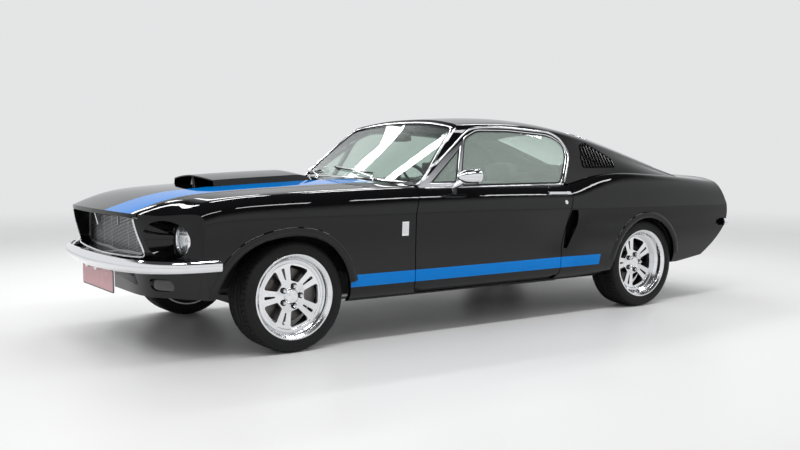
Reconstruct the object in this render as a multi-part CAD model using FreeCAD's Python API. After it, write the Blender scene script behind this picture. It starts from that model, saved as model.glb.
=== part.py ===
"""A fastback muscle car of the late 1960s, as an assembly of body panels, glass, cabin and running gear.

X points forward, Y to the car's left and Z up. The origin is on the ground, at the centre of the
car's bounding box. All sizes are in millimetres.
"""
import FreeCAD
import Part

import functools
import math
import os

V = FreeCAD.Vector

# Overall sizes
OVERALL_LENGTH = 4663.0
WHEELBASE = 2743.0
FRONT_OVERHANG = 862.0
TRACK = 1473.0
NOSE_X = OVERALL_LENGTH / 2
TAIL_X = -OVERALL_LENGTH / 2
FRONT_AXLE_X = NOSE_X - FRONT_OVERHANG
REAR_AXLE_X = FRONT_AXLE_X - WHEELBASE

# Wheels and tyres
TYRE_R = 303.0
TYRE_WIDTH = 224.0
SHOULDER = 8.0
BEAD_R = 216.0
LIP_R = 233.5
RIM_WIDTH = 212.0
FRONT_DISH = 44.0
REAR_DISH = 78.0
SPOKE_DISC_R = 178.0
SPOKE_THICK = 26.0
LUG_COUNT = 5
WINDOW_ANGLE = 36.0
LUG_CIRCLE_R = 57.15
LUG_R = 10.5
SPOKE_COUNT = 5
DISC_R = 150.0
DISC_THICK = 22.0
DISC_HAT_R = 82.0
DISC_HAT_DEPTH = 38.0
SPINDLE_R = 24.0
RUN_CLEAR = 0.3
WHEEL_Y = TRACK / 2

# Body skin: heights and half-widths of named lines, as (x, value) pairs from nose to tail
SKIN_BOTTOM_Z = 243.0
LOWER_Z = 330.0
MID_Z = 480.0
SKIN_STATIONS = [2400, 2300, 2200, 2100, 2000, 1900, 1750, 1550, 1300, 1050, 800, 550, 300, 50, -200,
                 -400, -530, -620, -740, -880, -1050, -1250, -1450, -1700, -1950, -2100, -2200, -2300, -2420]
BOTTOM_Y = [(2400, 640), (2100, 700), (1900, 752), (1600, 780), (600, 796), (-700, 796), (-1600, 772), (-2420, 716)]
LOWER_Y = [(2400, 690), (2200, 760), (2000, 822), (1800, 848), (1400, 866), (600, 872), (-700, 876),
           (-1300, 872), (-1900, 836), (-2420, 782)]
MID_Y = [(2400, 716), (2200, 784), (2000, 842), (1800, 866), (1400, 882), (600, 888), (-200, 884), (-440, 872),
         (-530, 874), (-620, 894), (-740, 896), (-1300, 890), (-1900, 856), (-2420, 800)]
CREASE_Z = [(2400, 556), (2300, 582), (2200, 618), (2100, 668), (2000, 714), (1900, 738), (1768, 744), (800, 738),
            (350, 737), (-167, 728), (-510, 720), (-1000, 712), (-2420, 690)]
CREASE_Y = [(2400, 724), (2200, 792), (2000, 850), (1800, 876), (1400, 894), (600, 901), (-500, 898),
            (-1300, 892), (-1900, 862), (-2420, 806)]
COVE_DEPTH = [(700, 4), (0, 5), (-300, 12), (-470, 20), (-540, 16), (-620, 2), (-2420, 2)]
CROWN_Z = [(2400, 640), (2300, 668), (2200, 704), (2100, 748), (2000, 800), (1900, 828), (1800, 843), (1700, 852),
           (1439, 861), (1096, 869), (626, 876), (0, 872), (-252, 869), (-520, 860), (-620, 866), (-740, 894),
           (-880, 926), (-1048, 940), (-1310, 929), (-1586, 907), (-1850, 886), (-2089, 862), (-2180, 856),
           (-2420, 838)]
CROWN_Y = [(2400, 660), (2200, 725), (2000, 774), (1800, 796), (1400, 806), (600, 808), (-500, 806), (-900, 812),
           (-1300, 812), (-1900, 780), (-2420, 722)]
EDGE_Z = [(2400, 706), (2300, 746), (2200, 788), (2100, 821), (2000, 843), (1900, 856), (1570, 874), (1000, 893),
          (700, 898), (300, 888), (-600, 872), (-900, 900), (-1300, 905), (-1700, 900), (-1950, 892),
          (-2100, 882), (-2240, 885), (-2420, 885)]
EDGE_Y = [(2400, 520), (2200, 560), (2000, 590), (1600, 612), (700, 620), (-700, 640), (-2420, 600)]
CENTRE_Z = [(2400, 722), (2300, 766), (2200, 803), (2100, 836), (2000, 860), (1900, 874), (1570, 897), (1000, 916),
            (700, 920), (300, 905), (-600, 885), (-900, 905), (-1300, 915), (-1700, 912), (-1950, 908),
            (-2100, 900), (-2240, 904), (-2420, 904)]

# Greenhouse skin, from windscreen to tail
ROOF_STATIONS = [760, 560, 360, 160, -40, -240, -440, -640, -840, -1040, -1240, -1440, -1640, -1840, -2000, -2140]
ROOF_BASE_Z = 780.0
ROOF_BASE_Y = [(760, 800), (0, 800), (-640, 798), (-1240, 796), (-2240, 700)]
BELT_Z = 868.0
BELT_SKIN_Y = [(760, 768), (0, 772), (-640, 772), (-1240, 766), (-1840, 720), (-2240, 660)]
RAIL_Z = [(760, 1216), (360, 1224), (160, 1232), (-40, 1238), (-240, 1238), (-440, 1228), (-640, 1206),
          (-840, 1168), (-1040, 1122), (-1240, 1072), (-1440, 1018), (-1640, 962), (-1840, 912), (-2040, 864),
          (-2240, 820)]
RAIL_Y = [(760, 590), (360, 602), (-240, 610), (-840, 608), (-1240, 596), (-1640, 580), (-2240, 556)]
ROOF_Z = [(760, 1234), (560, 1256), (360, 1276), (160, 1293), (-40, 1308), (-240, 1314), (-440, 1310),
          (-640, 1294), (-840, 1262), (-1040, 1218), (-1240, 1164), (-1440, 1104), (-1640, 1040), (-1840, 976),
          (-2040, 912), (-2240, 850)]

# Ends of the body: for each height z, the (y, x) line of the nose and of the tail in plan
NOSE_PLAN = [
    (1000, [(-60, 2292), (0, 2292), (200, 2288), (400, 2274), (540, 2250), (620, 2192), (700, 2112), (760, 2052),
            (830, 1992), (900, 1930), (1000, 1850)]),
    (780, [(-60, 2292), (0, 2292), (200, 2288), (400, 2274), (540, 2250), (620, 2192), (700, 2112), (760, 2056),
           (830, 1996), (900, 1934), (1000, 1852)]),
    (724, [(-60, 2290), (0, 2290), (200, 2286), (400, 2272), (540, 2250), (620, 2190), (700, 2108), (760, 2046),
           (830, 1992), (900, 1938), (1000, 1860)]),
    (640, [(-60, 2268), (0, 2268), (200, 2265), (400, 2252), (540, 2232), (620, 2172), (700, 2096), (760, 2040),
           (830, 1992), (900, 1942), (1000, 1866)]),
    (540, [(-60, 2238), (0, 2238), (200, 2235), (400, 2222), (540, 2203), (620, 2148), (700, 2082), (760, 2034),
           (830, 1990), (900, 1942), (1000, 1864)]),
    (452, [(-60, 2214), (0, 2214), (200, 2213), (400, 2206), (540, 2190), (620, 2138), (700, 2080), (760, 2040),
           (830, 1990), (900, 1940), (1000, 1860)]),
    (325, [(-60, 2176), (0, 2176), (200, 2176), (400, 2184), (540, 2150), (620, 2080), (700, 2020), (760, 1984),
           (830, 1944), (900, 1904), (1000, 1840)]),
    (200, [(-60, 2140), (0, 2140), (200, 2140), (400, 2150), (540, 2110), (620, 2040), (700, 1990), (760, 1954),
           (830, 1914), (900, 1880), (1000, 1820)])]
TAIL_PLAN = [
    (1000, [(-60, -2244), (0, -2244), (300, -2240), (500, -2226), (650, -2190), (760, -2138), (850, -2080),
            (1000, -1980)]),
    (905, [(-60, -2246), (0, -2246), (300, -2242), (500, -2228), (650, -2192), (760, -2142), (850, -2086),
           (1000, -1985)]),
    (765, [(-60, -2268), (0, -2268), (300, -2266), (500, -2258), (650, -2244), (760, -2222), (850, -2180),
           (1000, -2100)]),
    (614, [(-60, -2292), (0, -2292), (300, -2292), (500, -2291), (650, -2290), (760, -2286), (850, -2240),
           (1000, -2160)]),
    (477, [(-60, -2226), (0, -2226), (300, -2224), (500, -2220), (650, -2212), (760, -2200), (850, -2160),
           (1000, -2090)]),
    (326, [(-60, -1990), (0, -1990), (300, -1986), (500, -1976), (650, -1960), (760, -1946), (850, -1930),
           (1000, -1900)]),
    (200, [(-60, -1790), (0, -1790), (300, -1786), (500, -1776), (650, -1760), (760, -1746), (850, -1730),
           (1000, -1700)])]
FRONT_UNDERSIDE = [(1860, 150), (1900, 322), (2500, 322), (2500, 150)]
REAR_UNDERSIDE = [(-1480, 150), (-1490, 288), (-1655, 289), (-1946, 326), (-2140, 430), (-2600, 430), (-2600, 150)]

# Panel thicknesses and gaps
PANEL = 24.0
QUARTER_WALL = 30.0
ROOF_WALL = 34.0
HOOD_THICK = 22.0
DECK_THICK = 24.0
GLASS = 6.0
SHUT_GAP = 6.0
HOOD_GAP = 8.0
JOINT_GAP = 0.4
REST_GAP = 0.3

# Door, seen from the side
DOOR_FRONT_X = 706.0
DOOR_REAR_X = -462.0
DOOR_BOTTOM_Z = 262.0
DOOR_INNER_Y = 742.0
DOOR_TOP_Z = BELT_Z
DOOR_STEP = 14.0
DOOR_STEP_Y = (846.0, 800.0)
DOOR_STEP_Z = 786.0
ARMREST_REACH = 34.0

# Window opening in the greenhouse side, as (x, z, radius)
WINDOW = [(640, 800), (600, 872), (366, 1040), (140, 1184), (40, 1224, 60), (-221, 1224, 300), (-441, 1208, 400),
          (-600, 1196, 240), (-706, 1128, 56), (-690, 1050, 200), (-560, 850, 10), (-560, 800)]
VENT_TOP_X = 158.0
VENT_BOTTOM_X = 300.0
VENT_BAR = 16.0
VENT_FRAME = 34.0
GLASS_DEPTH = 12.0

# Hood, cowl and deck lid
HOOD_REAR_X = 770.0
HOOD_HALF_REAR = 618.0
HOOD_HALF_FRONT = 548.0
HOOD_LIP_Z = 744.0
LID_HINGE_SETBACK = 20.0
COWL_REAR_X = 566.0
COWL_HALF = 728.0
SCOOP_FRONT_X = 1690.0
SCOOP_REAR_X = 960.0
SCOOP_HALF_WIDTH = 300.0
SCOOP_HEIGHT = 46.0
SCOOP_WALL = 8.0
DECK_FRONT_X = -1800.0
DECK_HALF_WIDTH = 560.0
DECK_LIP_Z = 842.0
DECK_LATCH = (-2252.0, -2238.0, 40.0)

# Windscreen: the rake line at the centre, and how far it sweeps back towards its sides
SCREEN_BASE = (690.0, 903.0)
SCREEN_HEADER = (140.0, 1285.0)
SCREEN_SWEEP = [(820, 3.5e-4), (871, 3.18e-4), (1050, 1.9e-4), (1232, 0.43e-4), (1340, 0.2e-4)]
REAR_WINDOW = [(-985, 455), (-1745, 545)]

# Sail panel louvres and side scoop, seen from the side
LOUVRE_OUTLINE = [(-790, 968, 20), (-842, 1128, 24), (-930, 1143, 40), (-1040, 1090, 40), (-1160, 1024, 24),
                  (-1126, 968, 16)]
LOUVRE_COUNT = 11
LOUVRE_THICK = 9.0
LOUVRE_DEPTH = 15.0
SIDE_SCOOP = [(-534, 704, 8), (-590, 704, 16), (-606, 630, 150), (-514, 452, 10), (-484, 458, 6), (-500, 600, 300)]

# Nose
NOSE_SEAM_X = 1990.0
VALANCE_TOP_Z = 452.0
MOUTH = [(0, 526), (500, 540, 40), (555, 560, 26), (528, 748, 4), (0, 770)]
GRILLE_X = 2132.0
GRILLE_BAR = 2.6
GRILLE_PITCH = 8.0
GRILLE_THICK = 8.0
GRILLE_EDGE = 7.0
GRILLE_POST = (668.0, 4.0)
LAMP_Y = 688.0
LAMP_Z = 629.0
LAMP_R = 87.0
LAMP_RING = 7.0
LAMP_FACE_X = 2034.0
LAMP_BUCKET = 60.0
LAMP_FLARE = (200.0, 32.0)
LAMP_SURROUND = 14.0
VALANCE_LAMP = (600.0, 392.0, 62.0, 34.0)

# Tail
TAIL_LAMP_Y = [300, 392, 484]
TAIL_LAMP_WIDTH = 66.0
TAIL_LAMP_Z = (640.0, 800.0)
TAIL_PANEL_HALF = 690.0
TAIL_PANEL_BOTTOM_Z = 560.0

# Wheel arches
FRONT_ARCH = [(1104, 150), (1128, 330), (1170, 470), (1270, 585), (1400, 634), (1540, 638), (1700, 606), (1826, 520),
              (1906, 388), (1950, 150)]
REAR_ARCH_R = 320.0

END_REACH = 700.0

# Bumpers: outer faces in plan as (x, y)
BUMPER_HEIGHT = 84.0
BUMPER_THICK = 34.0
FRONT_BUMPER_Z = 488.0
REAR_BUMPER_Z = 540.0
FRONT_BUMPER_PLAN = [(0, 0), (-4, 190), (-18, 380), (-48, 560), (-112, 700), (-218, 804), (-330, 858), (-428, 882)]
REAR_BUMPER_PLAN = [(0, 0), (-2, 200), (-6, 400), (-14, 600), (-34, 738), (-90, 826), (-190, 872)]
BUMPER_TAPER = 0.36
PLATE_SIZE = (540.0, 120.0, 6.0)
PLATE_X = 2263.0

# Floor and chassis
SHEET = 12.0
FLOOR_Z = 250.0
CABIN_HALF = 735.0
FIREWALL_X = 846.0
TUNNEL_HALF = 128.0
TUNNEL_TOP_Z = 408.0
TRUNK_FLOOR_Z = 440.0
REAR_FLOOR_Z = 520.0
APRON_Y = 452.0
RAIL_HALF_Y = (352.0, 428.0)
RAIL_HEIGHT = (318.0, 410.0)
TUB_R = 340.0
TUB_INNER_Y = 598.0
REAR_RAIL_Y = 490.0

# Running gear
KINGPIN_Y = 680.0
BALL_JOINT_Z = (195.0, 418.0)
AXLE_TUBE_R = 38.0
DIFF_R = 128.0
PROPSHAFT_R = 36.0
PIPE_R = 26.0
PIPE_Y = 300.0
PIPE_Z = 194.0

# Cabin
WHEEL_CENTRE = (322.0, 372.0, 818.0)
COLUMN_TILT = 20.0
STEERING_WHEEL_R = 190.0
STEERING_GRIP_R = 12.0
SEAT_Y = 372.0
SEAT_X = -60.0
SEAT_HALF = 236.0
DASH_HALF = 686.0
COLUMN_R = 19.0
COLUMN_LENGTH = 112.0
ENGINE_SPAN = (1090.0, 1690.0)

SIDES = {"left": 1.0, "right": -1.0}


def along(table, x):
    """The value at x on the smooth line through a table of (x, value) pairs, with no overshoot."""
    pts = sorted(table)
    if x <= pts[0][0]:
        return float(pts[0][1])
    if x >= pts[-1][0]:
        return float(pts[-1][1])
    slopes = [(b[1] - a[1]) / (b[0] - a[0]) for a, b in zip(pts, pts[1:])]
    tangents = [slopes[0]]
    for before, after in zip(slopes, slopes[1:]):
        tangents.append(2 * before * after / (before + after) if before * after > 0 else 0.0)
    tangents.append(slopes[-1])
    for i, (a, b) in enumerate(zip(pts, pts[1:])):
        if x <= b[0]:
            h = b[0] - a[0]
            t = (x - a[0]) / h
            return (a[1] * (1 + 2 * t) * (1 - t) ** 2 + tangents[i] * h * t * (1 - t) ** 2
                    + b[1] * t * t * (3 - 2 * t) - tangents[i + 1] * h * t * t * (1 - t))


def box(x0, x1, y0, y1, z0, z1):
    """A box between two corners, given in any order."""
    low = V(min(x0, x1), min(y0, y1), min(z0, z1))
    return Part.makeBox(abs(x1 - x0), abs(y1 - y0), abs(z1 - z0), low)


def rounded_wire(points, place):
    """A closed wire through (a, b, corner radius) points, with tangent arcs at the corners."""
    n = len(points)
    edges = []
    ends = []
    for i, (a, b, *rest) in enumerate(points):
        radius = rest[0] if rest else 0.0
        before, here, after = points[i - 1], (a, b), points[(i + 1) % n]
        to_before = V(before[0] - a, before[1] - b, 0)
        to_after = V(after[0] - a, after[1] - b, 0)
        turn = to_before.getAngle(to_after)
        if radius and 0.01 < turn < math.pi - 0.01:
            back = radius / math.tan(turn / 2)
            to_before.normalize()
            to_after.normalize()
            bisector = to_before + to_after
            bisector.normalize()
            centre = V(*here, 0) + bisector * (radius / math.sin(turn / 2))
            start = V(*here, 0) + to_before * back
            end = V(*here, 0) + to_after * back
            ends.append((start, centre - bisector * radius, end))
        else:
            ends.append((V(*here, 0), None, V(*here, 0)))
    for i, (start, middle, end) in enumerate(ends):
        if middle is not None:
            edges.append(Part.Arc(place(start), place(middle), place(end)).toShape())
        following = ends[(i + 1) % n][0]
        if (following - end).Length > 1e-6:
            edges.append(Part.LineSegment(place(end), place(following)).toShape())
    return Part.Wire(edges)


def prism_y(points, y0, y1):
    """A side-view outline of (x, z, radius) points, extruded from y0 to y1."""
    wire = rounded_wire(points, lambda p: V(p.x, y0, p.y))
    return Part.Face(wire).extrude(V(0, y1 - y0, 0))


def prism_z(points, z0, z1):
    """A plan-view outline of (x, y, radius) points, extruded from z0 to z1."""
    wire = rounded_wire(points, lambda p: V(p.x, p.y, z0))
    return Part.Face(wire).extrude(V(0, 0, z1 - z0))


def prism_x(points, x0, x1):
    """A front-view outline of (y, z, radius) points, extruded from x0 to x1."""
    wire = rounded_wire(points, lambda p: V(x0, p.x, p.y))
    return Part.Face(wire).extrude(V(x1 - x0, 0, 0))


def knots(count, degree):
    """Clamped, evenly spaced knots and their multiplicities."""
    inner = count - degree
    return [float(i) for i in range(inner + 1)], [degree + 1] + [1] * (inner - 1) + [degree + 1]


def surface(rows):
    """The cubic surface whose control net is rows of points."""
    u_knots, u_mults = knots(len(rows), 3)
    v_knots, v_mults = knots(len(rows[0]), 3)
    made = Part.BSplineSurface()
    made.buildFromPolesMultsKnots(rows, u_mults, v_mults, u_knots, v_knots, False, False, 3, 3)
    return made


def curve(points):
    """The cubic curve whose control points are given."""
    degree = min(3, len(points) - 1)
    values, mults = knots(len(points), degree)
    made = Part.BSplineCurve()
    made.buildFromPolesMultsKnots(points, mults, values, False, degree)
    return made


def body_profile(x):
    """Control points (y, z) of the lower body's section at x, from sill to centreline."""
    crease_z, crease_y = along(CREASE_Z, x), along(CREASE_Y, x)
    crown_z, crown_y = along(CROWN_Z, x), along(CROWN_Y, x)
    edge_z, edge_y = along(EDGE_Z, x), along(EDGE_Y, x)
    centre_z, cove = along(CENTRE_Z, x), along(COVE_DEPTH, x)
    soft = 22.0
    rise = crown_z - crease_z
    return [
        (along(BOTTOM_Y, x), SKIN_BOTTOM_Z),
        (along(BOTTOM_Y, x) + 44, SKIN_BOTTOM_Z + 18),
        (along(LOWER_Y, x), LOWER_Z),
        (along(MID_Y, x) - cove * 0.5, MID_Z),
        (crease_y - 5 - cove, MID_Z * 0.42 + crease_z * 0.58),
        (crease_y - 3, crease_z - soft),
        (crease_y, crease_z),
        (crease_y - 8, crease_z + soft),
        ((crease_y + crown_y) / 2 + 18, crease_z + rise * 0.6),
        (crown_y + 16, crown_z - 16),
        (crown_y - 26, crown_z + 4),
        ((crown_y + edge_y) / 2 - 10, crown_z * 0.55 + edge_z * 0.45 + 2),
        (edge_y, edge_z),
        (edge_y * 0.6, edge_z + (centre_z - edge_z) * 0.72),
        (edge_y * 0.25, centre_z),
        (0.0, centre_z),
    ]


def roof_profile(x):
    """Control points (y, z) of the greenhouse section at x, from below the belt to the centreline."""
    belt_y, rail_y = along(BELT_SKIN_Y, x), along(RAIL_Y, x)
    rail_z, roof_z = along(RAIL_Z, x), along(ROOF_Z, x)
    return [
        (along(ROOF_BASE_Y, x), ROOF_BASE_Z),
        (belt_y, BELT_Z if rail_z > BELT_Z + 60 else (ROOF_BASE_Z + rail_z) / 2),
        (belt_y * 0.62 + rail_y * 0.38 + 7, BELT_Z * 0.62 + rail_z * 0.38),
        (belt_y * 0.28 + rail_y * 0.72 + 8, BELT_Z * 0.28 + rail_z * 0.72),
        (rail_y + 10, rail_z - 14),
        (rail_y - 14, rail_z + 20),
        (rail_y * 0.80, rail_z + (roof_z - rail_z) * 0.55),
        (rail_y * 0.50, rail_z + (roof_z - rail_z) * 0.90),
        (rail_y * 0.22, roof_z),
        (0.0, roof_z),
    ]


def inset(profile, depth):
    """A section profile moved inwards by depth, keeping its first height and its centreline."""
    if not depth:
        return profile
    moved = []
    for i, (y, z) in enumerate(profile):
        before, after = profile[max(i - 1, 0)], profile[min(i + 1, len(profile) - 1)]
        run = math.hypot(after[0] - before[0], after[1] - before[1])
        normal_y, normal_z = (after[1] - before[1]) / run, -(after[0] - before[0]) / run
        if i == 0:
            moved.append((y - depth, z))
        elif i == len(profile) - 1:
            moved.append((0.0, z - depth))
        elif i == len(profile) - 2:
            moved.append((y, z - depth))
        else:
            moved.append((y - normal_y * depth, z - normal_z * depth))
    return moved


def mass_under(stations, profile_at, depth=0.0):
    """The half-solid between the centre plane and the skin through profiles, moved in by depth."""
    rows = [[V(x, y, z) for y, z in inset(profile_at(x), depth)] for x in stations]
    skin = surface(rows).toShape()
    first, last = rows[0], rows[-1]
    base_z = first[0].z

    def end_face(row):
        edge = curve(row).toShape()
        foot = V(row[0].x, 0, base_z)
        return Part.Face(Part.Wire([edge, Part.LineSegment(row[-1], foot).toShape(),
                                    Part.LineSegment(foot, row[0]).toShape()]))

    low = curve([row[0] for row in rows]).toShape()
    high = curve([row[-1] for row in rows]).toShape()
    front_foot, rear_foot = V(first[0].x, 0, base_z), V(last[0].x, 0, base_z)
    floor = Part.Face(Part.Wire([low, Part.LineSegment(last[0], rear_foot).toShape(),
                                 Part.LineSegment(rear_foot, front_foot).toShape(),
                                 Part.LineSegment(front_foot, first[0]).toShape()]))
    centre = Part.Face(Part.Wire([high, Part.LineSegment(last[-1], rear_foot).toShape(),
                                  Part.LineSegment(rear_foot, front_foot).toShape(),
                                  Part.LineSegment(front_foot, first[-1]).toShape()]))
    shell = Part.Shell([skin, end_face(first), end_face(last), floor, centre])
    shell.sewShape()
    solid = Part.Solid(shell)
    if solid.Volume < 0:
        solid.reverse()
    return solid


def mirrored(shape):
    """The shape on the other side of the car."""
    return shape.mirror(V(0, 0, 0), V(0, 1, 0))


def both(shape):
    """A left half and its mirror image, joined across the centre plane."""
    return shape.fuse(mirrored(shape)).removeSplitter()


def on_side(shape, side):
    """The shape as made for the left, or its mirror image for the right."""
    return shape if side > 0 else mirrored(shape)


def keep_largest(shape):
    """The largest solid of a shape, as cuts can leave slivers."""
    return max(shape.Solids, key=lambda s: s.Volume)


def end_cutter(plan, shift, reach):
    """The space beyond one end of the body: its plan lines moved by shift along X, reaching on by reach."""
    rows = [[V(x + shift, y, z) for y, x in line] for z, line in plan]
    return surface(rows).toShape().extrude(V(reach, 0, 0))


@functools.lru_cache(maxsize=None)
def body(depth=0.0, wall=0.0):
    """The left half of the lower body's mass, moved in by depth at its skin and by wall at its ends."""
    mass = mass_under(SKIN_STATIONS, body_profile, depth)
    return mass.cut([end_cutter(NOSE_PLAN, -wall, END_REACH), end_cutter(TAIL_PLAN, wall, -END_REACH)])


@functools.lru_cache(maxsize=None)
def outer_body():
    """The lower body's outer mass with its underside sloped up at both ends."""
    under = [prism_y(FRONT_UNDERSIDE, -10, 1100), prism_y(REAR_UNDERSIDE, -10, 1100)]
    return body().cut(under)


@functools.lru_cache(maxsize=None)
def greenhouse(depth=0.0):
    """The left half of the greenhouse mass, moved in by depth."""
    return mass_under(ROOF_STATIONS, roof_profile, depth)


@functools.lru_cache(maxsize=None)
def screen_cutter(back=0.0):
    """The space ahead of the windscreen's outer face, moved back by back."""
    base_x, base_z = SCREEN_BASE
    header_x, header_z = SCREEN_HEADER
    rows = []
    for z, sweep in SCREEN_SWEEP:
        centre_x = base_x + (z - base_z) * (header_x - base_x) / (header_z - base_z)
        rows.append([V(centre_x - sweep * min(y, 720) ** 2 - back, y, z)
                     for y in (-60, 0, 150, 300, 450, 560, 640, 720, 800, 900)])
    return surface(rows).toShape().extrude(V(END_REACH + 300, 0, 0))


def door_outline(grow=0.0, top=DOOR_TOP_Z):
    """The door's side-view outline, with its edges moved out by grow."""
    front, rear = DOOR_FRONT_X + grow, DOOR_REAR_X - grow
    low = DOOR_BOTTOM_Z - grow
    return [(front - 65, top), (front, 735, 60), (front - 2, 480, 200), (front - 20, low, 46), (rear, low, 60),
            (rear, 470, 120), (rear - 63, 714, 200), (rear - 135, top)]


def eased(points):
    """An open line of (a, b) points with the arc at each corner as large as its two runs allow."""
    made = [points[0]]
    for before, here, after in zip(points, points[1:], points[2:]):
        back_run = V(before[0] - here[0], before[1] - here[1], 0)
        next_run = V(after[0] - here[0], after[1] - here[1], 0)
        reach = min(back_run.Length, next_run.Length) * 0.49
        made.append((*here, reach * math.tan(back_run.getAngle(next_run) / 2)))
    return made + [points[-1]]


def opened(outline):
    """A door outline carried straight up past the belt, for cutting the panels round it."""
    first, last = outline[0], outline[-1]
    return [(first[0] - 40, 960)] + outline + [(last[0] + 10, 960)]


def hood_outline(grow=0.0):
    """The hood's half plan outline, with its rear and side edges moved out by grow."""
    return [(HOOD_REAR_X - grow, -1), (HOOD_REAR_X - grow, HOOD_HALF_REAR + grow, 20 + grow),
            (NOSE_X, HOOD_HALF_FRONT + grow), (NOSE_X, -1)]


def deck_outline(grow=0.0):
    """The deck lid's half plan outline, with its front and side edges moved out by grow."""
    return [(DECK_FRONT_X + grow, -1), (DECK_FRONT_X + grow, DECK_HALF_WIDTH + grow, 30 + grow),
            (TAIL_X, DECK_HALF_WIDTH - 24 + grow), (TAIL_X, -1)]


def front_arch():
    """The front wheel opening, cut through the fender."""
    return prism_y(eased(FRONT_ARCH), 560, 1000)


def rear_arch(radius=REAR_ARCH_R, y0=560, y1=1000):
    """The rear wheel opening: a round top that opens downwards."""
    top = Part.makeCylinder(radius, y1 - y0, V(REAR_AXLE_X, y0, TYRE_R), V(0, 1, 0))
    return top.fuse(box(REAR_AXLE_X - radius + 22, REAR_AXLE_X + radius, y0, y1, 100, TYRE_R))


def hood():
    """The hood skin with its turned-down front lip."""
    region = prism_z(hood_outline(), HOOD_LIP_Z, 1000)
    half = outer_body().cut(body(HOOD_THICK, HOOD_THICK)).common(region)
    return both(keep_largest(half))


def hood_region():
    """The space that the hood and the gap round it take out of the other panels."""
    return prism_z(hood_outline(HOOD_GAP), HOOD_LIP_Z - HOOD_GAP, 1000)


def hood_scoop():
    """The raised air scoop: a shell open at the front, with a divider between its two mouths."""
    def block(inset_by):
        x0, x1 = SCOOP_REAR_X + inset_by * 3, SCOOP_FRONT_X + inset_by * 2
        top = along(CENTRE_Z, SCOOP_FRONT_X) + SCOOP_HEIGHT - inset_by
        half = SCOOP_HALF_WIDTH - inset_by
        side = [(x1, 820), (x1, top - 14), (x1 - 26, top, 14), (x1 - 520, top + 4, 300), (x0, top - 30), (x0, 820)]
        front = [(-1, 820), (half + 10, 820), (half - 6, top - 2, 26), (-1, top + 60)]
        plan = [(x0, -1), (x0, half - 76, 20), (x1 - 480, half - 6, 300), (x1, half), (x1, -1)]
        return prism_y(side, -1, half + 20).common(prism_x(front, x0, x1)).common(prism_z(plan, 800, 1100))
    outside = block(0)
    inside = block(SCOOP_WALL)
    divider = box(SCOOP_FRONT_X - 260, SCOOP_FRONT_X - 30, 0, 12, 820, 1000)
    shell = outside.cut(inside.cut(divider))
    seat = mass_under(SKIN_STATIONS, body_profile, -2 * REST_GAP)
    other_half = box(SCOOP_REAR_X - 50, SCOOP_FRONT_X + 50, -50, 0, 700, 1100)
    return both(keep_largest(shell.cut([seat, other_half])))


def fender(side):
    """A front fender, from the nose seam to the door, with its wheel opening."""
    shell = outer_body().cut(body(PANEL, PANEL))
    region = prism_z([(600, 560), (NOSE_SEAM_X, 500), (NOSE_SEAM_X, 1000), (600, 1000)], 200, 1000)
    cowl_side = box(500, HOOD_REAR_X - HOOD_GAP, -1, COWL_HALF + JOINT_GAP, 700, 1000)
    rocker = box(400, DOOR_FRONT_X - 20, 500, 1000, 200, DOOR_BOTTOM_Z - SHUT_GAP)
    cuts = [hood_region(), cowl_side, prism_y(opened(door_outline(SHUT_GAP)), 500, 1000), front_arch(), rocker]
    return on_side(keep_largest(shell.common(region).cut(cuts)), side)


def quarter_panel(side):
    """A rear quarter panel with its rocker, wheel opening, side scoop and ledge below the sail panel."""
    shell = outer_body().cut(body(QUARTER_WALL, QUARTER_WALL))
    region = box(TAIL_X, DOOR_FRONT_X - 20 - JOINT_GAP, -1, 1000, 200, 1000)
    cabin = prism_z([(700, -5), (700, CABIN_HALF), (-640, CABIN_HALF), (-1240, 728), (-1820, 684), (-1950, 640),
                     (-1950, -5)], 560, 1000).common(greenhouse(ROOF_WALL))
    tail = box(TAIL_X - 10, -2050, -1, TAIL_PANEL_HALF, 200, DECK_LIP_Z - HOOD_GAP)
    middle = box(-2100, 700, -1, 660, 200, 600)
    lid = prism_z(deck_outline(HOOD_GAP), DECK_LIP_Z - HOOD_GAP, 1000)
    door = prism_y(opened(door_outline(SHUT_GAP)), 500, 1000)
    ahead = box(-440, 800, 500, 1000, DOOR_BOTTOM_Z - SHUT_GAP, 1000)
    cuts = [cabin, tail, middle, lid, door, ahead, rear_arch(), prism_y(SIDE_SCOOP, 700, 1000)]
    return on_side(keep_largest(shell.common(region).cut(cuts)), side)


def tail_panel():
    """The panel between the quarters below the deck lid, with pockets for the lamps and the lid's latch."""
    shell = outer_body().cut(body(PANEL, PANEL))
    region = box(TAIL_X - 10, -2050 - JOINT_GAP, -1, TAIL_PANEL_HALF - JOINT_GAP, TAIL_PANEL_BOTTOM_Z - 130,
                 DECK_LIP_Z - HOOD_GAP)
    pockets = [box(TAIL_X, -2100, y - TAIL_LAMP_WIDTH / 2, y + TAIL_LAMP_WIDTH / 2, *TAIL_LAMP_Z)
               for y in TAIL_LAMP_Y]
    latch_rear, latch_front, latch_half = DECK_LATCH
    latch = box(latch_rear, latch_front, -1, latch_half, DECK_LIP_Z - HOOD_GAP - 6, DECK_LIP_Z - REST_GAP)
    return both(keep_largest(shell.common(region).cut(pockets).fuse(latch)))


def tail_lamps():
    """Six tall lamps, three a side, seated in the tail panel's pockets."""
    lens = body(-3, -3).cut(body(PANEL, PANEL + 6))
    lamps = []
    for y in TAIL_LAMP_Y:
        half = TAIL_LAMP_WIDTH / 2 - REST_GAP
        slot = box(TAIL_X, -2100, y - half, y + half, TAIL_LAMP_Z[0] + REST_GAP, TAIL_LAMP_Z[1] - REST_GAP)
        lamp = keep_largest(lens.common(slot))
        lamps += [lamp, mirrored(lamp)]
    return Part.makeCompound(lamps)


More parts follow.
